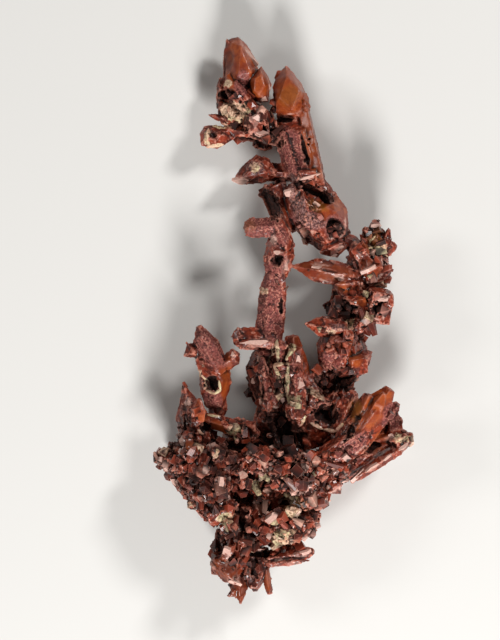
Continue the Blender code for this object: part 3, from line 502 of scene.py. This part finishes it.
def normals_of(mesh):
    normals = np.empty(len(mesh.vertices) * 3, np.float32)
    mesh.vertices.foreach_get("normal", normals)
    return normals.reshape(-1, 3).astype(float)


def set_corners(mesh, points):
    mesh.vertices.foreach_set("co", points.astype(np.float32).ravel())
    mesh.update()


def smoothed(values, edges, count, rounds):
    """Values at the corners, each time moved halfway to the mean of their neighbours."""
    share = np.bincount(edges.ravel(), minlength=count).astype(float)
    share[share == 0] = 1
    for _ in range(rounds):
        near = np.empty_like(values)
        for axis in range(values.shape[1]):
            column = values[:, axis]
            near[:, axis] = np.bincount(edges[:, 0], column[edges[:, 1]], count)
            near[:, axis] += np.bincount(edges[:, 1], column[edges[:, 0]], count)
        values = 0.5 * values + 0.5 * near / share[:, None]
    return values


def store(mesh, name, values):
    attribute = mesh.attributes.get(name) or mesh.attributes.new(name, "FLOAT", "POINT")
    attribute.data.foreach_set("value", values.astype(np.float32))


def stored(mesh, name):
    values = np.empty(len(mesh.vertices), np.float32)
    mesh.attributes[name].data.foreach_get("value", values)
    return values.astype(float)


def solid_copy(node):
    """The node's mesh in layout millimetres, with its loose triangles sewn together."""
    body = bmesh.new()
    body.from_mesh(node.data)
    for vertex in body.verts:
        vertex.co = vertex.co / MM
        vertex.co.x += CENTRE[0]
        vertex.co.y += CENTRE[1]
    bmesh.ops.remove_doubles(body, verts=body.verts, dist=1e-3)
    mesh = bpy.data.meshes.new(node.name + "_solid")
    body.to_mesh(mesh)
    body.free()
    return mesh


def modified(mesh, kind, **settings):
    """The mesh after one modifier."""
    holder = bpy.data.objects.new("holder", mesh)
    bpy.context.scene.collection.objects.link(holder)
    step = holder.modifiers.new("step", kind)
    for name, value in settings.items():
        setattr(step, name, value)
    graph = bpy.context.evaluated_depsgraph_get()
    made = bpy.data.meshes.new_from_object(holder.evaluated_get(graph))
    bpy.data.objects.remove(holder)
    return made


def grown(mesh, size):
    """The mesh's outside as even squares of that size."""
    return modified(mesh, "REMESH", mode="VOXEL", voxel_size=size, use_smooth_shade=True)


def joined(*meshes):
    body = bmesh.new()
    for mesh in meshes:
        body.from_mesh(mesh)
    made = bpy.data.meshes.new("joined")
    body.to_mesh(made)
    body.free()
    return made


# Small crystals strewn over a surface.

def small_crystals_tree(material):
    """Blocks, octahedra, cut pyramids, prisms and rounder ones, strewn where the surface is crowded."""
    tree = bpy.data.node_groups.new("small_crystals", "GeometryNodeTree")
    sockets = (
        ("Surface", "NodeSocketGeometry", None),
        ("Crystals per mm2", "NodeSocketFloat", 0.5),
        ("Least", "NodeSocketFloat", 0.6),
        ("Largest", "NodeSocketFloat", 1.6),
        ("Seed", "NodeSocketInt", 1),
    )
    for name, kind, value in sockets:
        socket = tree.interface.new_socket(name=name, in_out="INPUT", socket_type=kind)
        if value is not None:
            socket.default_value = value
    tree.interface.new_socket(name="Crystals", in_out="OUTPUT", socket_type="NodeSocketGeometry")
    nodes, links = tree.nodes, tree.links

    def add(kind, settings=None, **inputs):
        """A new node; an input given as _3 is its third socket, counted from 0."""
        node = nodes.new(kind)
        for name, value in (settings or {}).items():
            setattr(node, name, value)
        for name, value in inputs.items():
            counted = name[0] == "_" and name[1:].isdigit()
            socket = node.inputs[int(name[1:]) if counted else name.replace("_", " ")]
            if isinstance(value, bpy.types.NodeSocket):
                links.new(value, socket)
            else:
                socket.default_value = value
        return node

    def marked(geometry, name, kind, value):
        settings = {"data_type": kind, "domain": "INSTANCE"}
        values = {"Geometry": geometry, "Name": name, "Value": value}
        return add("GeometryNodeStoreNamedAttribute", settings, **values).outputs[0]

    given = nodes.new("NodeGroupInput").outputs
    crowded = add("GeometryNodeInputNamedAttribute", {"data_type": "FLOAT"}, Name="crowded").outputs[0]
    thick = {"operation": "MULTIPLY"}
    density = add("ShaderNodeMath", thick, _0=given["Crystals per mm2"], _1=crowded).outputs[0]
    placed = add("GeometryNodeDistributePointsOnFaces", Mesh=given["Surface"], Seed=given["Seed"])
    links.new(density, placed.inputs["Density"])
    shapes = nodes.new("GeometryNodeGeometryToInstance")
    cut = {"Radius_Top": 0.42, "Radius_Bottom": 0.72}
    made = (
        add("GeometryNodeMeshCube", Size=(1.0, 1.0, 1.0)),
        add("GeometryNodeMeshUVSphere", Segments=4, Rings=2, Radius=0.78),
        add("GeometryNodeMeshCone", Vertices=4, Depth=1.0, **cut),
        add("GeometryNodeMeshCone", Vertices=6, Radius_Top=0.3, Radius_Bottom=0.55, Depth=1.5),
        add("GeometryNodeMeshUVSphere", Segments=5, Rings=3, Radius=0.66),
        add("GeometryNodeMeshIcoSphere", Subdivisions=1, Radius=0.64),
    )
    for shape in made:
        links.new(shape.outputs["Mesh"], shapes.inputs[0])
    whole_turn = (math.tau, math.tau, math.tau)
    aimed = {"data_type": "FLOAT_VECTOR"}
    turned = add("FunctionNodeRandomValue", aimed, _1=whole_turn, Seed=given["Seed"])
    turn = add("FunctionNodeEulerToRotation", _0=turned.outputs[0]).outputs[0]
    number = {"data_type": "FLOAT"}
    share = add("FunctionNodeRandomValue", number, _2=0.0, _3=1.0, Seed=7).outputs[1]
    skewed = add("ShaderNodeMath", {"operation": "POWER"}, _0=share, _1=1.8).outputs[0]
    size = add("ShaderNodeMapRange", None, Value=skewed, To_Min=given["Least"], To_Max=given["Largest"])
    stretch = add("FunctionNodeRandomValue", aimed, _0=(0.7, 0.7, 0.7), _1=(1.35, 1.35, 1.35))
    times = {"operation": "SCALE"}
    scale = add("ShaderNodeVectorMath", times, _0=stretch.outputs[0], Scale=size.outputs[0])
    which = add("FunctionNodeRandomValue", {"data_type": "INT"}, _4=0, _5=len(made) - 1)
    stood = add("GeometryNodeInstanceOnPoints", Points=placed.outputs["Points"], Pick_Instance=True)
    links.new(shapes.outputs[0], stood.inputs["Instance"])
    links.new(which.outputs[2], stood.inputs["Instance Index"])
    links.new(turn, stood.inputs["Rotation"])
    links.new(scale.outputs[0], stood.inputs["Scale"])
    tone = add("FunctionNodeRandomValue", number, _2=0.0, _3=1.0).outputs[1]
    seat = nodes.new("GeometryNodeInputPosition").outputs[0]
    toned = marked(stood.outputs[0], "tone", "FLOAT", tone)
    seated = marked(toned, "seat", "FLOAT_VECTOR", seat)
    real = add("GeometryNodeRealizeInstances", _0=seated)
    dressed = add("GeometryNodeSetMaterial", _0=real.outputs[0], Material=material)
    links.new(dressed.outputs[0], nodes.new("NodeGroupOutput").inputs[0])
    return tree


def small_crystals(surface, tree, values):
    """The strewn crystals as a mesh, with each corner's tone and the seat of its crystal."""
    holder = bpy.data.objects.new("holder", surface)
    bpy.context.scene.collection.objects.link(holder)
    step = holder.modifiers.new("strewn", "NODES")
    step.node_group = tree
    for item in tree.interface.items_tree:
        if item.in_out == "INPUT" and item.name in values:
            step[item.identifier] = values[item.name]
    graph = bpy.context.evaluated_depsgraph_get()
    made = bpy.data.meshes.new_from_object(holder.evaluated_get(graph))
    bpy.data.objects.remove(holder)
    count = len(made.vertices)
    tones, seats = np.zeros(count, np.float32), np.zeros(count * 3, np.float32)
    if count:
        made.attributes["tone"].data.foreach_get("value", tones)
        made.attributes["seat"].data.foreach_get("vector", seats)
    return made, tones.astype(float), seats.reshape(-1, 3).astype(float)


def edged(mesh, wide, *marks):
    """The mesh with a border that wide inside each large face.

    With it come 1 for each corner that it had before and 0 for the others, and its marks.
    """
    points = corners_of(mesh)
    corners, faces, came_from = list(points), [], list(range(len(points)))
    for face in mesh.polygons:
        outer = list(face.vertices)
        middle = points[outer].mean(0)
        arms = points[outer] - middle
        lengths = np.linalg.norm(arms, axis=1, keepdims=True)
        if lengths.mean() < EDGED_FACE:
            faces.append(outer)
            continue
        inner = list(range(len(corners), len(corners) + len(outer)))
        corners += list(middle + arms * np.clip(1 - wide / lengths, 0.3, 1))
        came_from += outer
        faces.append(inner)
        turns = zip(outer, outer[1:] + outer[:1], inner[1:] + inner[:1], inner)
        faces += [list(quad) for quad in turns]
    made = bpy.data.meshes.new("edged")
    made.from_pydata([tuple(corner) for corner in corners], [], faces)
    came_from = np.array(came_from, int)
    old = (np.arange(len(came_from)) < len(points)).astype(float)
    return made, old, *(mark[came_from] for mark in marks)


def plates(places, surface, seed):
    """Crisp six-cornered plates of painted highlight let into the surface seen from above, as one mesh.
    """
    corners, faces = [], []
    for row, (x, y, along, across, turn) in enumerate(places):
        hit, normal, _, _ = surface.ray_cast(Vector((x, y, HIGH_ABOVE)), Vector((0, 0, -1)))
        if hit is None or normal.z < LEAST_FACING:
            continue
        heading = Vector((math.cos(math.radians(turn)), math.sin(math.radians(turn)), 0.0))
        heading = (heading - normal * heading.dot(normal)).normalized()
        side = normal.cross(heading)
        stray = by_cell(np.array([(row, k, 0) for k in range(9)]), seed)
        lean = Vector((stray[6] - 0.5, stray[7] - 0.5, 0.0)) * PLATE_LEAN
        normal = (normal + lean).normalized()
        start = len(corners)
        for rise in (PLATE_PROUD, PLATE_PROUD - PLATE_DEPTH):
            for k in range(PLATE_CORNERS):
                angle = math.tau * (k + 1.5 * (stray[k] - 0.5)) / PLATE_CORNERS
                reach = heading * along * math.cos(angle) + side * across * math.sin(angle)
                reach -= normal * reach.dot(normal)
                corners.append(hit + reach * (0.8 + 0.4 * stray[5 - k]) + normal * rise)
        middle, end = start + PLATE_CORNERS, start + 2 * PLATE_CORNERS
        top, bottom = range(start, middle), range(middle, end)
        faces += [list(top), list(reversed(bottom))]
        faces += [[top[k - 1], bottom[k - 1], bottom[k], top[k]] for k in range(PLATE_CORNERS)]
    made = bpy.data.meshes.new("plates")
    made.from_pydata(corners, [], faces)
    return made


# Shader maths.

class Wire:
    """A socket's value, which adds a Math node for each sum made with it."""

    def __init__(self, finish, socket):
        self.finish = finish
        self.socket = socket

    def maths(self, operation, *others):
        return self.finish.add("ShaderNodeMath", {"operation": operation}, [self, *others])

    def __add__(self, other):
        return self.maths("ADD", other)

    __radd__ = __add__

    def __mul__(self, other):
        return self.maths("MULTIPLY", other)

    __rmul__ = __mul__

    def __sub__(self, other):
        return self.maths("SUBTRACT", other)

    def __rsub__(self, other):
        return self.finish.add("ShaderNodeMath", {"operation": "SUBTRACT"}, [other, self])

    def over(self, low, high):
        """0 at low and 1 at high, eased between."""
        settings = {"interpolation_type": "SMOOTHSTEP"}
        values = {"Value": self, "From Min": low, "From Max": high}
        return self.finish.add("ShaderNodeMapRange", settings, values)


class Finish:
    """A material and the nodes of its pattern."""

    def __init__(self, name):
        self.material = bpy.data.materials.new(name)
        self.material.use_nodes = True
        self.nodes = self.material.node_tree.nodes
        self.links = self.material.node_tree.links
        self.shader = self.nodes["Principled BSDF"]

    def add(self, kind, settings, values, output=0):
        """The chosen output of a new node, its settings made first, then its sockets' values or links."""
        node = self.nodes.new(kind)
        for name, value in settings.items():
            setattr(node, name, value)
        pairs = values.items() if isinstance(values, dict) else enumerate(values)
        for place, value in pairs:
            self.join(value, node.inputs[place])
        return Wire(self, node.outputs[output])

    def join(self, value, socket):
        if isinstance(value, Wire):
            self.links.new(value.socket, socket)
        else:
            socket.default_value = value

    def mark(self, name):
        return self.add("ShaderNodeAttribute", {"attribute_name": name}, {}, "Fac")

    def mix(self, share, first, second):
        """A colour from first to second by share."""
        node = self.nodes.new("ShaderNodeMix")
        node.data_type = "RGBA"
        factor = next(s for s in node.inputs if s.identifier == "Factor_Float")
        a = next(s for s in node.inputs if s.identifier == "A_Color")
        b = next(s for s in node.inputs if s.identifier == "B_Color")
        for value, socket in ((share, factor), (first, a), (second, b)):
            self.join(value, socket)
        return Wire(self, next(s for s in node.outputs if s.identifier == "Result_Color"))

    def ramp(self, value, stops):
        """A colour picked by value from stops of (place, colour)."""
        node = self.nodes.new("ShaderNodeValToRGB")
        marks = node.color_ramp.elements
        while len(marks) < len(stops):
            marks.new(1.0)
        for mark, (place, shade) in zip(marks, stops):
            mark.position = place
            mark.color = shade
        self.join(value, node.inputs[0])
        return Wire(self, node.outputs[0])

    def noise(self, place, size, detail=3.0, rough=0.55, warp=0.0):
        """A pattern from 0 to 1 whose lumps are about size across."""
        values = {"Vector": place, "Scale": 1 / size, "Detail": detail, "Roughness": rough}
        values["Distortion"] = warp
        return self.add("ShaderNodeTexNoise", {}, values, "Fac")


def colour(red, green, blue):
    """A colour as a screen shows it, 0 to 255, made linear."""
    shown = [value / 255 for value in (red, green, blue)]
    return tuple(c / 12.92 if c <= 0.04045 else ((c + 0.055) / 1.055) ** 2.4 for c in shown) + (1.0,)


def cuprite_skin():
    """The skin of cuprite: grainy and polished faces, pale crusts, painted highlights and hollows dark
    with painted shade.
    """
    skin = Finish("cuprite_skin_looks")
    place = skin.add("ShaderNodeTexCoord", {}, {}, "Object")
    place = skin.add("ShaderNodeVectorMath", {"operation": "SCALE"}, {"Vector": place, "Scale": 1 / MM})
    broad = skin.noise(place, 5.0, 3.0)
    middling = skin.noise(place, 1.6, 4.0, 0.6, 0.4)
    fine = skin.noise(place, 0.45, 4.0, 0.65)
    speck = skin.noise(place, 0.22, 2.0, 0.6)
    stain = skin.noise(place, 2.6, 5.0, 0.6, 1.2)
    tone, grainy, silver = skin.mark("tone"), skin.mark("grainy"), skin.mark("silver")
    crust, glint, hollow_and_shade = skin.mark("crust"), skin.mark("glint"), skin.mark("hollow_and_shade")
    smooth, olive, bend = skin.mark("smooth"), skin.mark("olive"), skin.mark("bend")
    painted_cavity_shade, vein, dusky = skin.mark("painted_cavity_shade"), skin.mark("vein"), skin.mark("dusky")

    stops = (
        (0.00, colour(30, 9, 6)),
        (0.22, colour(58, 18, 12)),
        (0.44, colour(94, 31, 18)),
        (0.66, colour(140, 52, 28)),
        (0.85, colour(156, 66, 42)),
        (0.91, colour(184, 100, 78)),
        (0.98, colour(224, 178, 158)),
    )
    crystal = skin.ramp(tone + 0.2 * (fine - 0.5), stops)
    body = skin.mix(middling.over(0.32, 0.66), colour(72, 22, 12), colour(138, 50, 26))
    shade = skin.mix(0.78, body, crystal)
    polished = skin.mix(stain.over(0.36, 0.66), colour(122, 44, 18), colour(160, 74, 30))
    polished = skin.mix((fine * middling).over(0.33, 0.44) * 0.75, polished, colour(70, 24, 12))
    polished = skin.mix((speck * stain).over(0.37, 0.44) * 0.6, polished, colour(40, 14, 8))
    polished = skin.mix((fine - 0.6 * broad).over(0.28, 0.4) * 0.5, polished, colour(190, 104, 66))
    shade = skin.mix(smooth, shade, polished)
    grain = skin.mix(fine.over(0.34, 0.68), colour(80, 33, 32), colour(148, 80, 74))
    # Pale specks on the grainy faces: painted sparkle.
    grain = skin.mix(speck.over(0.60, 0.74) * 0.7, grain, colour(198, 142, 130))
    shade = skin.mix(grainy * 0.85, shade, grain)
    bright = skin.mix(fine.over(0.42, 0.66), colour(72, 38, 36), colour(166, 126, 120))
    shade = skin.mix(silver * 0.8, shade, bright)
    shade = skin.mix(olive * (0.3 + 0.5 * stain), shade, colour(130, 84, 26))
    pale = skin.mix(broad.over(0.42, 0.58), colour(222, 186, 158), colour(214, 200, 156))
    scab = skin.mix(fine.over(0.32, 0.62), colour(112, 78, 54), pale)
    crumbs = crust * (0.55 + 1.2 * (middling - 0.4))
    shade = skin.mix(crumbs.over(0.3, 0.55), shade, scab)
    shade = skin.mix(vein.over(0.25, 0.6), shade, skin.mix(fine.over(0.3, 0.5), scab, pale))
    # Painted edge highlight: a paler colour on sharp edges and on the rims of crystal faces.
    painted_edge_highlight = bend.over(0.2, 0.9) * (0.2 + 0.8 * middling.over(0.38, 0.6)) * (1 - 0.6 * smooth)
    shade = skin.mix(painted_edge_highlight * 0.65, shade, colour(212, 142, 120))
    # Painted highlight on bright facets, edges and plates.
    shade = skin.mix(glint * (0.45 + 0.6 * fine), shade, colour(240, 196, 180))
    # Painted shade in the cavities, darkest where they go deepest.
    painted_shade_share = painted_cavity_shade.over(0.02, 0.38)
    shade = skin.mix(painted_shade_share * 0.9, shade, colour(22, 7, 4))
    # Painted shade in hollows and gaps: near black, with pale specks.
    painted_pit_shade = skin.mix(fine.over(0.45, 0.75), colour(16, 6, 4), colour(74, 30, 19))
    painted_pit_shade = skin.mix(speck.over(0.64, 0.74) * 0.7, painted_pit_shade, colour(140, 78, 64))
    shade = skin.mix(hollow_and_shade * 0.84 * (1 - 0.8 * vein), shade, painted_pit_shade)
    shade = skin.mix(dusky, shade, colour(30, 10, 5))
    skin.join(shade, skin.shader.inputs["Base Color"])

    rough = 0.40 + 0.2 * fine - 0.10 * smooth + 0.2 * grainy + 0.3 * crust - 0.2 * glint + 0.3 * hollow_and_shade
    skin.join(rough, skin.shader.inputs["Roughness"])
    lustre = (0.36 - 0.26 * grainy - 0.1 * glint) * (1 - crust) * (1 - 0.6 * hollow_and_shade)
    skin.join(lustre, skin.shader.inputs["Coat Weight"])
    skin.shader.inputs["Coat Roughness"].default_value = 0.2
    skin.shader.inputs["Specular IOR Level"].default_value = 0.24
    height = fine * (0.4 + 0.8 * grainy + 0.8 * crust) + speck * (0.25 + 0.6 * grainy) + middling * 0.3
    bump = skin.add("ShaderNodeBump", {}, {"Strength": 0.5, "Distance": 0.12 * MM, "Height": height})
    skin.join(bump, skin.shader.inputs["Normal"])
    return skin.material


# The pieces.

def gaps_of(points):
    """Where the gaps among the small crystals lie, from 0 to 1; they are sunk in and darkened with
    painted shade.
    """
    crowd = patches(CROWDED, points, 0.2, 0.2)
    return ramp(cloud(points, 2.4, 77) + 0.5 * cloud(points, 1.1, 78), 0.38, 0.62) * ramp(crowd, 0.3, 0.6)


def zones(points, upward, facet_seats, crumb_seats):
    """The patches as shares at each point: those of the seen side, and scattered ones elsewhere.

    Pale patches, of crust and of painted highlight, take whole facets, so they are looked up at the
    facets' seats; on smooth faces they keep their own outline.
    """
    seen = ramp(upward, -0.3, 0.1)
    elsewhere = 1 - seen
    wide, third = cloud(points, 4.5, 21), cloud(points, 2.4, 23)
    other = cloud(crumb_seats, 2.2, 22)
    smooth = patches(SMOOTH, points, 0.12)
    crust = patches(CRUST, crumb_seats, 0.4, 0.3) * (1 - smooth) + patches(CRUST, points, 0.3) * smooth
    # Hollows and gaps, carved in and darkened with painted shade.
    ragged = patches(SHADED_HOLLOWS, crumb_seats, 0.5, 0.1) * (1 - smooth)
    hollow_and_shade = np.maximum(patches(SHADED_HOLLOWS, points, 0.25, 0.3), ragged)
    hollow_and_shade = np.maximum(hollow_and_shade, gaps_of(points))
    # Painted highlight along edges and on bright facets, broken up by noise.
    highlight_rims = patches(PAINTED_HIGHLIGHT_RIMS, points, 0.25, 0.3) * ramp(cloud(points, 0.8, 24), -0.55, 0.2) * 0.85
    return {
        "smooth": smooth * seen + ramp(wide, 0.1, 0.3) * elsewhere * 0.8,
        "grainy": patches(GRAINY, points) * seen + ramp(-wide, 0.15, 0.35) * elsewhere,
        "silver": patches(SILVER, points, 0.4) * seen,
        "crust": crust * seen + ramp(other, 0.45, 0.6) * elsewhere,
        "vein": patches(VEINS, points, 0.3, 0.3) * seen,
        "glint": np.maximum(patches(GLINT, facet_seats, 0.1, 0.3) * 0.25, highlight_rims) * seen,
        "hollow_and_shade": hollow_and_shade * seen + ramp(third, 0.5, 0.75) * elsewhere * 0.6,
        "olive": patches(OLIVE, points, 0.3, 0.3) * seen,
        "dusky": patches(DUSKY, points, 0.3, 0.5) * seen,
    }


def crystal_zones(seats, corners, body_tree):
    """The marks of the small crystals: one to a whole crystal, but with painted shade towards its buried
    end.
    """
    seen = np.ones(len(seats))
    made = zones(seats, seen, seats, seats)
    made["smooth"] = made["smooth"] * 0.4
    made["grainy"] = made["grainy"] * 0.4
    depths = np.empty(len(corners))
    for row, corner in enumerate(corners):
        near, normal, _, _ = body_tree.find_nearest(corner)
        depths[row] = (corner[0] - near.x) * normal.x + (corner[1] - near.y) * normal.y
        depths[row] += (corner[2] - near.z) * normal.z
    # Painted shade towards the buried end of each crystal.
    made["painted_cavity_shade"] = 0.42 * ramp(depths, 0.7, -0.1)
    made["hollow_and_shade"] = made["hollow_and_shade"] * ramp(depths, 0.6, 0.0) * 0.8
    return made


def nearest_of(place, others_tree, body_tree):
    """Whether the body is what shows from above at the place, not one of the other nodes."""
    above, down = Vector((place[0], place[1], HIGH_ABOVE)), Vector((0, 0, -1))
    mine, other = body_tree.ray_cast(above, down)[0], others_tree.ray_cast(above, down)[0]
    return mine is not None and (other is None or mine.z > other.z)


def crowding(points):
    """How thickly small crystals stand at each point, from 0 to 1."""
    crowd = patches(CROWDED, points, 0.2, 0.2)
    crowd = np.maximum(crowd, ramp(cloud(points, 3.0, 31), 0.1, 0.5) * 0.12)
    crowd *= 1 - patches(SMOOTH, points, 0.1)
    crowd *= 1 - 0.45 * patches(SHADED_HOLLOWS, points, 0.1)
    crowd *= 1 - 0.85 * gaps_of(points)
    crowd *= 1 - patches(SILVER, points, 0.1)
    crowd *= 1 - 0.9 * patches(VEINS, points, 0.1, 0.4)
    crowd *= 1 - 0.9 * patches(GLINT, points, 0.1, 0.3)
    crowd *= 1 - patches(BARE, points, 0.1, 0.2)
    return crowd


def relief(points, facet_height, crumb_height, made):
    """How far the skin stands out at each point, by what covers it there."""
    crowd = patches(CROWDED, points, 0.2, 0.2)
    plain = 1 - made["smooth"]
    lift = facet_height * FACET_LIFT * plain * (0.35 + 0.65 * crowd)
    lift += crumb_height * CRUMB_LIFT * plain * (0.4 + 0.6 * crowd)
    grains, _, _ = facets(points, GRAIN, 61)
    lift += grains * GRAIN_LIFT * np.maximum(made["grainy"], made["silver"])
    crust = cloud(points, 0.5, 5) * CRUST_ROUGHNESS * made["crust"] + CRUST_LIFT * made["crust"]
    lift += crust + VEIN_LIFT * made["vein"]
    waves = cloud(points, 2.2, 6) * LONG_WAVE * made["smooth"]
    lift += waves + cloud(points, 0.7, 7) * SHORT_WAVE * made["smooth"]
    lift -= HOLLOW_DEPTH * made["hollow_and_shade"] * made["hollow_and_shade"]
    return lift


def dressed(name, tree, material, others):
    """The finished mesh of a node: its solid roughened and marked, with small crystals grown on."""
    solid = solid_copy(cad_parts[name])
    seat = grown(solid, SEAT_GRID)
    store(seat, "crowded", crowding(corners_of(seat)))
    seed = sum(ord(letter) for letter in name)
    values = {
        "Crystals per mm2": CRYSTALS_PER_MM2,
        "Least": LEAST_CRYSTAL,
        "Largest": LARGEST_CRYSTAL,
        "Seed": seed,
    }
    plain_crystals, tones, seats = small_crystals(seat, tree, values)
    # Rims inside the crystals' faces, for the painted edge highlight.
    crystals, painted_edge_highlight, tones, seats = edged(plain_crystals, CRYSTAL_EDGE, tones, seats)
    body = grown(solid, FINE)

    points = corners_of(body)
    normals = normals_of(body)
    count = len(points)
    edges = np.empty(len(body.edges) * 2, np.int32)
    body.edges.foreach_get("vertices", edges)
    edges = edges.reshape(-1, 2)
    broad_normals = smoothed(normals, edges, count, BROAD_ROUNDS)
    upward = broad_normals[:, 2] / (np.linalg.norm(broad_normals, axis=1) + 1e-9)

    facet_height, facet_number, facet_seats = facets(points, FACET, 41)
    crumb_height, crumb_number, crumb_seats = facets(points, CRUMB, 51)
    made = zones(points, upward, facet_seats, crumb_seats)
    lift = relief(points, facet_height, crumb_height, made)

    others_tree = others[name]
    gap = np.array([others_tree.find_nearest(p, FORK_REACH)[3] or FORK_REACH for p in points])
    lift += FORK_SWELL * ramp(gap, FORK_REACH, FORK_CLOSE)
    points = points + normals * lift[:, None]
    set_corners(body, points)
    normals = normals_of(body)
    near = smoothed(points, edges, count, NEAR_ROUNDS)
    far = smoothed(near, edges, count, FAR_ROUNDS)
    made["tone"] = 0.5 * facet_number + 0.5 * crumb_number
    # Sharp edges, for the painted edge highlight, and cavities, for the painted shade.
    made["bend"] = np.clip(((points - near) * normals).sum(1) / FULL_BEND, 0, 1)
    made["painted_cavity_shade"] = np.clip(((far - points) * normals).sum(1) / FULL_CAVITY, 0, 1)

    for mark, value in made.items():
        store(body, mark, value)
    thinned = modified(body, "DECIMATE", ratio=KEPT)
    made = {mark: stored(thinned, mark) for mark in made}
    points = corners_of(thinned)
    corners = corners_of(crystals)
    body_tree = BVHTree.FromPolygons(points.tolist(), [p.vertices for p in thinned.polygons])
    strewn = crystal_zones(seats, corners, body_tree)
    # Pale crystals: the highest tones take cream crust, the lowest a painted highlight.
    pale = PALE_CRYSTAL * (1 - patches(SHADED_HOLLOWS, seats, 0.3, 0.3))
    strewn["crust"] = np.maximum(strewn["crust"], pale * (tones > CRUSTED_ABOVE))
    strewn["glint"] = np.maximum(strewn["glint"], pale * (tones < BRIGHT_BELOW))
    strewn["tone"] = (tones * TONE_SPREAD) % 1.0
    strewn["bend"] = painted_edge_highlight
    # Plates of painted highlight at the glint places that this node shows from above.
    own = [place for place in GLINT if nearest_of(place, others_tree, body_tree)]
    bright, bright_old = edged(plates(own, body_tree, seed), CRYSTAL_EDGE)[:2]
    bright_corners = corners_of(bright)
    flat = {mark: np.zeros(len(bright_corners)) for mark in made}
    flat["glint"] = 0.82 + 0.18 * bright_old
    flat["bend"] = bright_old
    made = {mark: np.concatenate((made[mark], strewn[mark], flat[mark])) for mark in made}
    points = np.concatenate((points, corners, bright_corners))
    whole = joined(thinned, crystals, bright)
    for mark, value in made.items():
        store(whole, mark, value)

    low, high = np.array(cad_box[0]), np.array(cad_box[1])
    set_corners(whole, np.clip((points - CENTRE) * MM, low, high))
    whole.name = name + "_crystals"
    whole.materials.clear()
    whole.materials.append(material)
    rounded = np.arange(len(whole.polygons)) < len(thinned.polygons)
    whole.polygons.foreach_set("use_smooth", rounded)
    for spare in (solid, seat, body, thinned, plain_crystals, crystals, bright):
        bpy.data.meshes.remove(spare)
    return whole


def trees_of_others():
    """For each node, a search tree of all the other nodes' solids."""
    solids = {name: solid_copy(node) for name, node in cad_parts.items()}
    found = {}
    for name in solids:
        corners, faces = [], []
        for other, mesh in solids.items():
            if other != name:
                start = len(corners)
                corners += [v.co.copy() for v in mesh.vertices]
                faces += [[start + k for k in p.vertices] for p in mesh.polygons]
        found[name] = BVHTree.FromPolygons(corners, faces)
    for mesh in solids.values():
        bpy.data.meshes.remove(mesh)
    return found


def plain_material(name, shade, roughness):
    material = bpy.data.materials.new(name)
    material.use_nodes = True
    shader = material.node_tree.nodes["Principled BSDF"]
    shader.inputs["Base Color"].default_value = shade
    shader.inputs["Roughness"].default_value = roughness
    return material


def lamp(name, place, size, power):
    light = bpy.data.lights.new(name, "AREA")
    light.shape = "DISK"
    light.size = size
    light.energy = power
    holder = bpy.data.objects.new(name, light)
    bpy.context.scene.collection.objects.link(holder)
    holder.location = place
    away = holder.location - Vector(LAMP_AIM)
    holder.rotation_euler = away.to_track_quat("Z", "Y").to_euler()


def studio():
    floor_mesh = bpy.data.meshes.new("floor")
    corners = [(x * FLOOR_REACH, y * FLOOR_REACH, 0) for x, y in ((-1, -1), (1, -1), (1, 1), (-1, 1))]
    floor_mesh.from_pydata(corners, [], [(0, 1, 2, 3)])
    floor = bpy.data.objects.new("floor", floor_mesh)
    floor_mesh.materials.append(plain_material("floor", colour(214, 212, 208), 0.8))
    bpy.context.scene.collection.objects.link(floor)
    bpy.context.scene.view_settings.view_transform = "Standard"
    for name, place, size, power in LAMPS:
        lamp(name, place, size, power)
    room = bpy.data.worlds.new("studio")
    room.use_nodes = True
    light = room.node_tree.nodes["Background"].inputs
    light["Color"].default_value = ROOM_SHADE
    light["Strength"].default_value = ROOM_STRENGTH
    bpy.context.scene.world = room

    camera = bpy.data.objects.new("camera", bpy.data.cameras.new("camera"))
    bpy.context.scene.collection.objects.link(camera)
    camera.data.sensor_width = SENSOR
    camera.data.lens = SENSOR * CAMERA_DISTANCE / VIEW_HEIGHT
    camera.location = (
        (VIEW_MIDDLE[0] - CENTRE[0]) * MM,
        (VIEW_MIDDLE[1] - CENTRE[1]) * MM,
        (CAMERA_DISTANCE + VIEW_DEPTH) * MM,
    )
    camera.data.clip_start = CLIP_START
    bpy.context.scene.camera = camera


def build():
    studio()
    material = cuprite_skin()
    tree = small_crystals_tree(material)
    others = trees_of_others()
    for name in sorted(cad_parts):
        piece = bpy.data.objects.new(name + "_crystals", dressed(name, tree, material, others))
        bpy.context.scene.collection.objects.link(piece)
        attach(piece, "root")
        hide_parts(name)


build()
